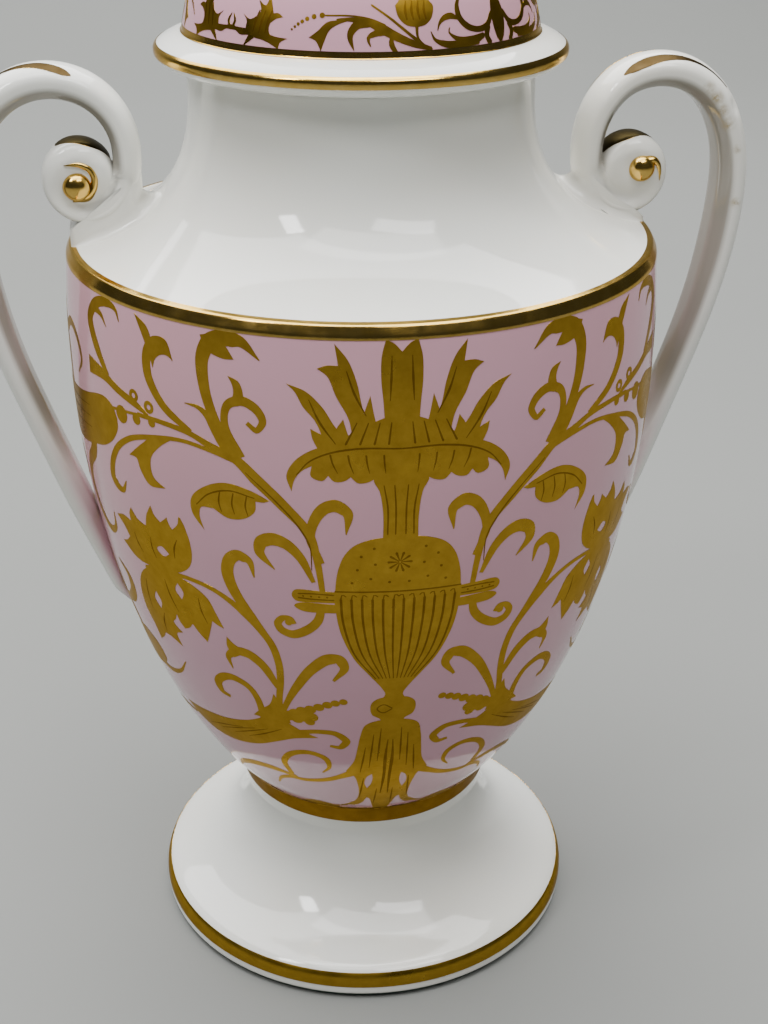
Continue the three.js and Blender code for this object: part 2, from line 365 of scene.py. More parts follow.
def lid_outline():
    seat = NECK_TOP + GAP
    spigot = NECK_RADIUS - WALL - 0.8
    inner_top = DOME_TOP[1] - 9
    return chain(
        (0, inner_top),
        bezier((8, inner_top - 0.5), (24, inner_top - 5), (44, 330), (DOME[0] - LID_WALL, DOME[1] + 3)),
        (spigot - 3.5, RIM_Z),
        (spigot - 3.5, seat - 7),
        (spigot - 0.6, seat - 7),
        (spigot, seat),
        (NECK_RADIUS + 1, seat),
        bezier((53.5, seat + 0.3), (57, seat + 0.9), (58.6, RIM_Z - 2.4), (RIM_RADIUS, RIM_Z - 0.6)),
        bezier((RIM_RADIUS, RIM_Z + 0.6), (58.8, RIM_Z + 2), (55, 297.4), (DOME[0] + 0.3, DOME[1] - 0.3)),
        dome_outline(),
        bezier((14, 344.6), (8, 347), (6.4, 350), (6.6, 353.6)),
        (9.2, 355),
        (9.2, 357),
        bezier((7.4, 358.4), (14.5, 362.5), (13, 371), (7.6, 379.5)),
        bezier((6.2, 380.6), (5.4, 384), (4.4, FINIAL_TOP - 3.5), (0, FINIAL_TOP)),
    )


# ---- handles ----


# The volute's crest line: its distance from the eye at an angle, winding inwards.
VOLUTE_TURN = (
    (2.9, 14.4),
    (3.7, 12.5),
    (4.6, 11.9),
    (5.4, 10.9),
    (6.3, 9.9),
    (7.9, 9.2),
    (9.6, 8.4),
    (12.4, 6.5),
    (14.4, 4.4),
    (15.6, 2.6),
    (22, 0),
)


def volute_radius(angle):
    """Distance of the crest line from the eye, softened between the turns."""
    around = np.linspace(-0.5, 0.5, 9)
    turns, radii = np.array(VOLUTE_TURN).T
    spread = np.where(np.ravel(angle) < 4, 0.25, 1)[:, None]
    near = np.interp(np.ravel(angle)[:, None] + around * spread, turns, radii)
    return near.mean(1)


def handle_line(side):
    """The handle's crest line, from the tail on the belly over the arch and in to the eye.

    With its points go the directions away from the curve, the shares of the strap, and the volute's angles.
    """
    start = np.array(EYE) + VOLUTE_TURN[0][1] * spoke(VOLUTE_START)
    strap = chain(
        bezier(STRAP_TAIL, (86, 142), (95.4, 168.9), STRAP_LOWER, 60),
        bezier(STRAP_LOWER, (110, 211), (115.6, 230), STRAP_OUTMOST, 60),
        bezier(STRAP_OUTMOST, (115.6, 270.5), (104.6, 285), STRAP_TOP, 60),
        bezier(STRAP_TOP, (77.5, 285), (66.8, 275.5), start, 60),
    )
    strap = resample(strap, CREST_STEP)
    share = arc_length(strap) / arc_length(strap)[-1]
    near_coil = smoothstep(share, 0.88, 1)
    lift = ARCH_LIFT[side] * smoothstep(strap[:, 1], 200, 262) * (1 - near_coil)
    strap[:, 1] += lift - COIL_DROP[side] * near_coil
    angle = np.arange(VOLUTE_START + 0.1, VOLUTE_END, COIL_STEP)
    coil = np.array(EYE) + volute_radius(angle)[:, None] * spoke(angle) - (0, COIL_DROP[side])
    line = blurred(np.vstack([strap, coil]), 1.2)
    out = rightward(unit(np.gradient(line, axis=0)))
    along = np.r_[share, np.ones(len(angle))]
    turn = np.r_[np.full(len(strap), VOLUTE_START), angle]
    return line, out, along, turn


def volute_face(angle, radius):
    """Half width across Y at a place on the volute: hollow inside the rim, round in the coil."""
    base = VOLUTE_START + np.mod(np.asarray(angle, float) - VOLUTE_START, 2 * math.pi)
    crest, inner = volute_radius(base), volute_radius(base + 2 * math.pi)
    share = np.clip((crest - radius) / (crest - BOWL_INNER), 0, 1)
    present = np.maximum(smoothstep(base, VOLUTE_START, 4.4), smoothstep(radius - inner, 0, 1.5))
    hollow = BOWL * present * (1 - smoothstep(base, 4.4, 7.4)) * np.sin(math.pi * share**0.8) ** 2
    dip = 0.5 * np.exp(-((radius / 4.6) ** 4))
    shoulder = 1.3 * (1 - smoothstep(crest - radius, 0, 2.6))
    shoulder = shoulder * smoothstep(base, 4.2, 6.2) * (1 - smoothstep(base, 8.4, 9.1))
    return FACE_HALF - hollow - dip - shoulder


# A section's side face: shares of the way round it, of STRAP_SIDE inwards, and of the half width.
SIDE_KNOTS = (0, 0.28, 0.4, 0.8, 1)
SIDE_INWARDS = (0, 0.42, 0.54, 1, 1.05)
SIDE_ACROSS = (1, 0.985, 0.93, 0.6, 0.3)


def strap_section(dome, depth, half, coiled, angle, crease):
    """Closed section as (outward, across).

    Its outer face is domed between two crest edges. Its side faces are flat, or dished in the volute.
    """
    a = np.linspace(math.pi / 2, -math.pi / 2, 25)
    if coiled > 0:
        half += (volute_face(angle, volute_radius(angle))[0] - half) * coiled
    outer = np.stack([dome * np.cos(a), half * np.sin(a)], -1)
    v = np.linspace(0, 1, 25)[1:]
    inwards, across = (np.interp(v, SIDE_KNOTS, values) for values in (SIDE_INWARDS, SIDE_ACROSS))
    face = np.stack([-depth * inwards, half * across], -1)
    if coiled > 0:
        crest, inner = (volute_radius(turn)[0] for turn in (angle, angle + 2 * math.pi))
        reach = min(crest - inner + 2.5, crest - 0.2)
        dished = np.stack([-reach * v, volute_face(angle, crest - reach * v)], -1)
        face = face + (dished - face) * coiled
    loop = np.vstack([outer, face * (1, -1), face[::-1]])
    loop = np.vstack([loop, loop[:1]])
    spacing = arc_length(loop)[-1] / 160
    loop = blurred(resample(loop, spacing)[:-1], crease / spacing, closed=True)
    loop = np.vstack([loop, loop[:1]])
    s = arc_length(loop)
    at = np.arange(SECTION_POINTS) * s[-1] / SECTION_POINTS
    return np.stack([np.interp(at, s, loop[:, k]) for k in (0, 1)], -1)


def handle_sections(side):
    """Every section along the handle as an array (stations, around, 3), drawn as if on the +X side."""
    rows = []
    for point, out, share, angle in zip(*handle_line(side)):
        in_coil = smoothstep(angle, VOLUTE_START, VOLUTE_START + 3.6)
        swell = STRAP_SWELL * math.exp(-(((1 - share - 0.2) / 0.12) ** 2)) if angle <= VOLUTE_START else 0
        thicker = STRAP_THICKER * math.exp(-(((share - 0.56) / 0.13) ** 2))
        taper = 1 - 0.3 * smoothstep(1 - share, 0.8, 1)
        sink = smoothstep(1 - share, 0.955, 1)
        dome = (STRAP_DOME * (1 - 0.7 * in_coil) + swell) * taper * (1 - 0.75 * sink)
        half = STRAP_HALF_WIDTH * (0.8 + 0.2 * taper) - 0.4 * in_coil
        coiled = smoothstep(angle, VOLUTE_START, VOLUTE_START + 0.5)
        crease = 0.3 + 0.5 * smoothstep(angle, 4, 6.2)
        depth = (STRAP_SIDE + swell + thicker) * taper
        section = strap_section(dome, depth, half, coiled, angle, crease)
        flat = (point - out * TAIL_SUNK * sink)[None] + section[:, :1] * out[None]
        rows.append(np.stack([flat[:, 0], section[:, 1], flat[:, 1]], -1))
    return np.array(rows)


def grid_normals(points):
    """Normals of a grid of points whose rows are closed loops, looking away from the loops' middles."""
    around = np.roll(points, -1, 1) - np.roll(points, 1, 1)
    normals = unit(np.cross(around, np.gradient(points, axis=0)))
    looks = ((points - points.mean(1, keepdims=True)) * normals).sum()
    return normals if looks > 0 else -normals


def strap_surface(side):
    """The handle's surface on one side of the urn, chipped where a nick is."""
    rows = handle_sections(side)
    normals = grid_normals(rows)
    x, y, z, depth = NICKS[side]
    near = np.exp(-((rows - (x, y, z)) ** 2).sum(-1, keepdims=True) / NICK_SPREAD)
    rows = rows - normals * near * depth
    return rows * (side, 1, 1), grid_normals(rows) * (side, 1, 1)


def strap_shade_and_overspray(rows, side):
    """Painted shade and blown pink of the handle: above 0 where painted shade darkens its inner face, below 0
    where pink was blown on.
    """
    line, out, along, turn = handle_line(side)
    depth = -((rows[..., ::2] * (side, 1) - line[:, None]) * out[:, None]).sum(-1) / STRAP_SIDE
    inner = smoothstep(depth, 0.3, 0.75) * (1 - smoothstep(turn, VOLUTE_START, 3.4))[:, None]
    low = (1 - smoothstep(along, 0.1, 0.36))[:, None] * smoothstep(depth, -0.3, 0.6)
    return inner * (1 - low) - low


def add_balls(shape):
    """The gilded ball in the middle of each volute, on both of its faces."""
    u = np.linspace(0.02, math.pi - 0.02, 21)[:, None]
    v = circle(28)[None]
    ball = np.stack([np.sin(u) * np.cos(v), np.cos(u) + 0 * v, np.sin(u) * np.sin(v)], -1)
    normals = unit(ball / BALL_RADII)
    for side, (out, rise) in BALL_PLACE.items():
        for face in (-1, 1):
            place = (side * (EYE[0] + out), face * (FACE_HALF - BALL_SUNK), EYE[1] + rise)
            points = ball * BALL_RADII + place
            shape.add(points, normals, tube(points, normals))


class Turned:
    """The surface of revolution of one profile.

    s runs along the profile in millimetres, and a is the angle from the front in radians.
    """

    def __init__(self, profile, side):
        self.profile = resample(profile, 0.4)
        self.s = arc_length(self.profile)
        self.normal = -side * rightward(unit(np.gradient(self.profile, axis=0)))

    def radius(self, s):
        return np.interp(s, self.s, self.profile[:, 0])

    def at(self, a, s):
        """Points and normals at angles a and distances s."""
        r, z = (np.interp(s, self.s, self.profile[:, k]) for k in (0, 1))
        nr, nz = (np.interp(s, self.s, self.normal[:, k]) for k in (0, 1))
        normal = unit(np.stack([nr * np.sin(a), -nr * np.cos(a), nz], -1))
        return np.stack([r * np.sin(a), -r * np.cos(a), z], -1), normal


BODY = Turned(chain(belly_outline()[::-1], bezier(WAIST, (42.5, 54), (COVE[0], 50), COVE)), 1)
DOME_SIDE = Turned(dome_outline(), -1)
SHOULDER_TOP = Turned(neck_outline(), -1)


def pad_footprint():
    """The pad's outline on the shoulder as (x, y), with the fillet's radius at each point."""
    a = np.linspace(math.pi / 2, 3 * math.pi / 2, 33)
    inner = (67.5, 0) + (6, PAD_DEPTH) * spoke(a)
    low = np.stack([np.linspace(68, 84.4, 18), np.full(18, -PAD_DEPTH)], -1)
    corner = (84.6, PAD_CORNER - PAD_DEPTH) + PAD_CORNER * spoke(np.linspace(-math.pi / 2, 0, 6))
    end = np.stack([np.full(9, 86.2), np.linspace(-4.6, 4.6, 9)], -1)
    loop = chain(inner, low, corner, end, corner[::-1] * (1, -1), low[::-1] * (1, -1))
    fillet = np.interp(loop[:, 0], *PAD_FILLET)
    return loop, fillet


def on_shoulder(flat):
    """Points and normals of the shoulder under flat (x, y) places."""
    radius = np.linalg.norm(flat, axis=1)
    s = np.interp(-radius, -SHOULDER_TOP.profile[:, 0], SHOULDER_TOP.s)
    return SHOULDER_TOP.at(np.arctan2(flat[:, 0], -flat[:, 1]), s)


def add_pads(shape):
    """The pad under each volute, its foot swept out in a glossy fillet onto the shoulder."""
    loop, fillet = pad_footprint()
    out = rightward(unit(np.roll(loop, -1, 0) - np.roll(loop, 1, 0)))
    out *= np.sign(((loop - loop.mean(0)) * out).sum(1))[:, None]
    away = np.concatenate([out, np.zeros((len(out), 1))], -1)
    base, up = on_shoulder(loop + out * fillet[:, None])
    rings, normals = [base - PAD_SKIRT * up], [up]
    for turn in np.linspace(0, math.pi / 2, 11):
        base, up = on_shoulder(loop + out * (fillet * (1 - math.sin(turn)))[:, None])
        rings.append(base + up * (fillet * (1 - math.cos(turn)) - PAD_SUNK)[:, None])
        normals.append(unit(up * math.cos(turn) + away * math.sin(turn)))
    wall = np.interp(loop[:, 0], *PAD_WALL)
    foot, normals = np.array(rings), np.array(normals + [away])
    for side, rise in PAD_RISE.items():
        top = foot[-1] + (0, 0, 1) * (wall + rise)[:, None]
        rings = np.concatenate([foot, top[None]]) * (side, 1, 1)
        shape.add(rings, normals * (side, 1, 1), tube(rings, normals * (side, 1, 1)))


# ---- gilding: shapes drawn on the unrolled belly or dome, then laid on the surface of revolution ----

# A drawing point is (a, s): degrees from the pattern's middle, and millimetres down the belly from the
# shoulder or up the dome from its edge.
DEGREE = math.radians(1) * SHOULDER[0]  # width of a degree on the drawing
PATTERN_TURN = math.radians(-2.2)  # the gilder's middle lies a little left of the front
LID_TURN = math.radians(38)  # where the lid's border has its mirror line
GOLD, CHASED, HOLE = 0, 1, 2
CHASING = 1.5  # the burnisher's lines are this much wider than they are noted
LEAF_STEP, STROKE_STEP, HOOK_STEP = 0.8, 0.8, 0.9  # spacing of points along the outlines
INNER_SPACING = 2.4  # spacing of the points inside them


def smooth_line(points, step):
    """A smooth line through drawing points, with points an even step apart."""
    knots = np.array(points, float)
    if len(knots) < 3:
        return resample(knots, step)
    padded = np.vstack([2 * knots[0] - knots[1], knots, 2 * knots[-1] - knots[-2]])
    gap = np.maximum(np.linalg.norm(np.diff(padded[:, :2], axis=0), axis=1), 1e-6) ** 0.5
    runs = []
    for i in range(1, len(padded) - 2):
        p0, p1, p2, p3 = padded[i - 1 : i + 3]
        g0, g1, g2 = gap[i - 1 : i + 2]
        lead = p1 + (p2 - p1) / 3
        if g0 >= 1e-2:
            lead = p1 + g1 * ((p1 - p0) / g0 * g1 + (p2 - p1) / g1 * g0) / (g0 + g1) / 3
        follow = p2 - g1 * ((p3 - p2) / g2 * g1 + (p2 - p1) / g1 * g2) / (g1 + g2) / 3
        runs.append(bezier(p1, lead, follow, p2, 14))
    return resample(np.vstack([runs[0], *(run[1:] for run in runs[1:])]), step)


def anticlockwise(points):
    x, y = points.T
    return points if (x * np.roll(y, -1) - y * np.roll(x, -1)).sum() > 0 else points[::-1]


class Drawing:
    """Closed shapes on the unrolled surface in millimetres, each with its kind, and its strokes' middles."""

    def __init__(self, radius_at):
        self.radius_at = radius_at
        self.shapes = []
        self.spines = []

    def flat(self, points):
        return np.array(points, float) * (DEGREE, 1)

    def leaf(self, *runs, kind=GOLD):
        """A closed shape, smooth along each run, with a corner where the next run goes on from it."""
        lines, start = [], []
        for run in runs:
            lines.append(smooth_line(self.flat(start + run), LEAF_STEP))
            start = run[-1:]
        gap = np.array([lines[-1][-1], lines[0][0]])
        if np.linalg.norm(gap[1] - gap[0]) > 1.5 * LEAF_STEP:
            lines.append(resample(gap, LEAF_STEP)[1:-1])
        self.shapes.append((np.vstack(lines), kind))

    def brush(self, points, widths, step):
        """A smooth line with its widths, the surface's share of its girth, the headings and the sides."""
        line = smooth_line(self.flat(points), step)
        share = arc_length(line) / arc_length(line)[-1]
        width = np.interp(share, np.linspace(0, 1, len(widths)), widths)
        squeeze = self.radius_at(line[:, 1]) / SHOULDER[0]
        along = unit(np.gradient(line, axis=0) * np.stack([squeeze, np.ones_like(squeeze)], -1))
        return line, width, squeeze, along, np.stack([-along[:, 1] / squeeze, along[:, 0]], -1)

    def stroke(self, points, widths, kind=GOLD):
        """A brush stroke through points whose width in millimetres changes evenly between widths."""
        line, width, squeeze, along, side = self.brush(points, widths, STROKE_STEP)
        half = width / 2 * (CHASING if kind == CHASED else 1)
        side = side * half[:, None]
        tip = line[-1:] + along[-1:] * (half[-1] / squeeze[-1], half[-1])
        tail = line[:1] - along[:1] * (half[0] / squeeze[0], half[0])
        self.shapes.append((np.vstack([tail, line + side, tip, (line - side)[::-1]]), kind))
        if kind == GOLD:
            self.spines.append(line[half > 0.45])

    def hook(self, points, widths):
        """A stroke of gold whose points run along the outer edge of its curve."""
        line, width, _, along, side = self.brush(points, widths, HOOK_STEP)
        bend = (along[:-1, 0] * along[1:, 1] - along[:-1, 1] * along[1:, 0]).sum()
        side = side * math.copysign(1, bend)
        self.shapes.append((np.vstack([line, (line + side * width[:, None])[::-1]]), GOLD))
        self.spines.append((line + side * width[:, None] / 2)[width > 0.9])

    def dot(self, centre, radius, kind=GOLD):
        """A round spot."""
        a = circle(14)
        x, y = self.flat(centre)
        squeeze = self.radius_at(y) / SHOULDER[0]
        points = np.stack([x + radius * np.cos(a) / squeeze, y + radius * np.sin(a)], -1)
        self.shapes.append((points, kind))

    def mirror(self):
        """Everything drawn so far again on the other side of the middle."""
        self.shapes += [(points * (-1, 1), kind) for points, kind in self.shapes]
        self.spines += [points * (-1, 1) for points in self.spines]

    def triangles(self):
        """Points, triangles and kinds of the drawing's union, with points inside it close enough to bend."""
        outlines = [(anticlockwise(points), kind) for points, kind in self.shapes]
        drawn = np.vstack([points for points, _ in outlines])
        low, high = drawn.min(0), drawn.max(0)
        x, y = np.meshgrid(*(np.arange(low[k], high[k], INNER_SPACING) for k in (0, 1)))
        inside = np.stack([x.ravel() + 0.013, y.ravel() + 0.017], -1)
        loose = np.vstack([inside, *[spine for spine in self.spines if len(spine)]])
        loops, start = [], 0
        for points, _ in outlines:
            loops.append(list(range(start, start + len(points))))
            start += len(points)
        corners = [Vector(point) for point in np.vstack([drawn, loose])]
        found, _, cells, _, _, origins = delaunay_2d_cdt(corners, [], loops, 1, 1e-4)
        kept = []
        for cell, origin in zip(cells, origins):
            kinds = {outlines[i][1] for i in origin}
            if kinds and HOLE not in kinds:
                kept.append((cell, CHASED if CHASED in kinds else GOLD))
        return np.array([tuple(point) for point in found]), kept


def lay_drawing(shape, draws, surface, middle):
    """Draws the parts of a pattern, mirrors them, and lays them on a surface in front and behind."""
    drawing = Drawing(surface.radius)
    for draw in draws:
        draw(drawing)
    drawing.mirror()
    points, cells = drawing.triangles()
    used = sorted({i for cell, _ in cells for i in cell})
    place = {old: new for new, old in enumerate(used)}
    faces = [tuple(place[i] for i in cell) for cell, _ in cells]
    slots = [kind for _, kind in cells]
    flat = points[used]
    for turn in (middle, middle + math.pi):
        base, normal = surface.at(flat[:, 0] / SHOULDER[0] + turn, flat[:, 1])
        add_skin(shape, base, normal, outward(base, normal, faces), GILT, slots)


def draw_plumes(d):
    """The spray of leaves that stands in the drawn vase."""
    d.leaf([(0, 4), (1.3, 1.8), (2.7, 0.7)], [(3.4, 5), (3.5, 11), (3.1, 18), (2.6, 31)], [(0, 31)])
    d.leaf(
        [(2.6, 31), (5.6, 24), (6.7, 18), (7.5, 12), (9, 6), (11.2, 1.8)], [(10.9, 4.6), (10.6, 7.6)],
        [(12.5, 7.6), (14.1, 8.5)], [(12.4, 10.5), (10.9, 16), (8.9, 22), (8, 31)],
    )
    d.leaf(
        [(7.4, 31), (11.2, 24), (13.2, 19), (16, 14.8), (19.3, 13)],
        [(17.9, 15), (16.5, 19), (14.4, 23), (12.5, 31)],
    )
    d.leaf([(3, 31), (4.5, 22), (5.3, 15.5)], [(6.4, 21), (7, 31)])
    d.leaf([(8, 31), (9.2, 25.4), (9.8, 22)], [(11, 25), (11.5, 31)])
    d.leaf([(9, 31), (12.6, 27.2), (15.3, 25)], [(15, 27.6), (14, 31)])
    d.leaf([(0, 20), (5, 23), (9, 26.5), (13, 29)], [(12, 33), (0, 33)])
    for a, top, lean in ((1.7, 5, 0.3), (9.2, 9, -3.2), (15.5, 17, -4.4)):
        d.stroke([(a, top), (a + lean * 0.4, top + 6), (a + lean, top + 12)], (0.15, 0.45, 0.15), CHASED)
    for a in (2.2, 4.6, 7, 9.4):
        d.stroke([(a * 0.8, 23), (a, 29)], (0.2, 0.4), CHASED)


def draw_cloud(d):
    """The ruffled lip of the drawn vase, curling down at its ends."""
    d.leaf(
        [(0, 28.6), (8, 28.4), (12, 29.4), (15.6, 31.4), (18.4, 35), (19.6, 39), (18.8, 43.5)],
        [(18.2, 40), (16.9, 37.2), (15.2, 35.6)], [(15.4, 38.6), (13.4, 39.8), (12.4, 38.2)],
        [(11.4, 39.9), (9.6, 39.6), (8.6, 38.4)], [(7.4, 40.2), (5.6, 39.9), (4.8, 39.2)], [(0, 39.4)],
    )
    d.stroke([(0.1, 30.4), (7, 30.2), (12, 31.6), (15.6, 34.4), (17.8, 38.4)], (0.3, 0.4, 0.2), CHASED)
    for a in (3, 6, 9, 12):
        d.stroke([(a, 32.2), (a * 0.97, 34.6), (a * 0.9, 37.4)], (0.35, 0.3, 0.1), CHASED)
    d.leaf([(0, 38), (4.7, 39), (3.7, 43), (3.1, 50), (3.1, 57.6)], [(0, 57.6)])
    for a in (0.9, 2.3):
        d.stroke([(a * 1.3, 41), (a, 48), (a, 56)], (0.2, 0.35, 0.25), CHASED)


def draw_vase(d):
    """The drawn vase: a dotted shoulder with a rosette, a fluted body and a knop."""
    d.leaf([(0, 57), (3.2, 57), (5.8, 57.8), (8.2, 59.6), (10, 63), (11.2, 68.5), (11.8, 76)], [(0, 76)])
    d.leaf(
        [(0, 75), (11.8, 75), (11.8, 80), (10.9, 90), (8.4, 100), (5.4, 106.5), (2.8, 112), (1.9, 115),
         (2.6, 117)], [(0, 117)],
    )
    d.leaf(
        [(0, 116.4), (2.9, 116.6), (4.7, 118.6), (5.1, 121.6), (4.6, 124.4), (2.8, 126.4), (2.6, 128)],
        [(0, 128)],
    )
    d.stroke([(0.1, 74.9), (6, 74.9), (11.7, 74.9)], (0.35, 0.35), CHASED)
    d.stroke([(0.1, 121.5), (2.2, 119.6), (3.6, 121.5), (2.2, 123.4), (0.1, 121.5)], (0.3, 0.3), CHASED)
    for k in range(6):
        share = 0.95 + k * 1.95
        foot = share * 0.26
        d.stroke(
            [(share, 77.6), (share * 0.97, 86), (share * 0.78, 98), (foot + 0.4 * share * 0.3, 108)],
            (0.5, 0.4, 0.2), CHASED,
        )
        d.stroke([(share - 0.95, 76.6), (share - 0.3, 75.9), (share, 77.6)], (0.25, 0.25), CHASED)
    for a, s in ((4.6, 60.4), (6.9, 63), (4.4, 65.6), (7.6, 67.4), (5.2, 70.4), (8.6, 71.8), (1.8, 71.6)):
        d.dot((a, s), 0.42, CHASED)
    for k in range(5):
        turn = math.pi * (k + 0.5) / 5
        tip = (2.1 * math.sin(turn), 65 - 3.1 * math.cos(turn))
        d.stroke([(0.25 * math.sin(turn), 65 - 0.4 * math.cos(turn)), tip], (0.15, 0.5), CHASED)
    d.leaf(
        [(11, 75.2), (15, 75), (19.2, 75.2), (19.9, 77), (19.2, 78.9), (15, 79.1), (11, 78.9)],
        [(11, 75.2)],
    )
    d.leaf([(11, 79.6), (18.4, 79.6), (19.6, 80.8), (18.2, 82.4), (11, 82.6)], [(11, 79.6)])
    d.stroke([(12, 76.2), (16, 76.1), (18.6, 76.4)], (0.3, 0.3), CHASED)
    d.stroke([(12, 78), (16, 78), (18.6, 77.8)], (0.3, 0.3), CHASED)
    for k in range(4):
        d.dot((13.2 + 1.5 * k, 77.1), 0.3, CHASED)
    d.hook(
        [(13.6, 81), (14.4, 86.4), (16.9, 90.8), (20.4, 93.2), (23.3, 91.4), (24, 88), (22.4, 85.1),
         (20.2, 85.2), (19.4, 87.4)], (2.2, 2.7, 3, 3, 2.6, 2, 1.4),
    )
    d.dot((21, 87.4), 1.1)


def draw_husk(d):
    """The bell flower that hangs under the knop, and the tendrils that leave it."""
    d.leaf(
        [(0, 127), (3.4, 127.2), (6.2, 129.4), (7.4, 135), (8.2, 142), (9.2, 149), (11.6, 155.4)],
        [(9.4, 158.8), (8.5, 164), (8.2, 170), (8.8, 176), (10.6, 180.6), (13.6, 184)],
        [(9.6, 183.6), (7.2, 180.6), (5.6, 175.6)],
        [(4.6, 177), (4.1, 180), (3.4, 185), (2.2, 190), (0, 193.4)],
    )
    d.leaf(
        [(4.3, 157.4), (5.6, 159), (6.4, 163.4), (5.6, 167.8)], [(4.4, 164), (4, 160), (4.3, 157.4)],
        kind=HOLE,
    )
    d.stroke([(0.6, 137), (0.9, 146), (0.8, 158), (1.2, 172)], (0.2, 0.7, 0.6, 0.2), CHASED)
    for a, low, high in (
        (2.7, 131, 149), (4.6, 134, 153), (6.8, 141, 156), (7.4, 160, 176), (2.8, 168, 182),
    ):
        d.stroke([(a * 0.9, low), (a, (low + high) / 2), (a * 1.12, high)], (0.15, 0.4, 0.15), CHASED)
    d.stroke(
        [(8.4, 155.4), (12, 158.4), (17.6, 162.4), (24.8, 165), (30, 165.2), (34, 168), (36.6, 173)],
        (4, 2.4, 2.2, 2, 1.8, 0.5),
    )
    d.stroke(
        [(28.8, 162), (29.6, 155), (26.4, 148.6), (21, 146), (16.8, 148.6), (16.2, 153.6), (18.4, 157.6)],
        (1.8, 2.2, 2.4, 2.2, 0.5),
    )
    d.stroke([(27.8, 163.6), (35.8, 162), (43.8, 164), (50.8, 169), (55, 174.6)], (1.4, 3, 3, 2.4, 0.5))
    d.leaf([(15, 188.4), (20, 184.6), (26, 183.4), (32, 186.4)], [(27, 190), (21, 191.2), (15, 188.4)])
    d.stroke([(10, 180), (14, 184.4), (19, 186.6)], (0.8, 1.2, 0.8))


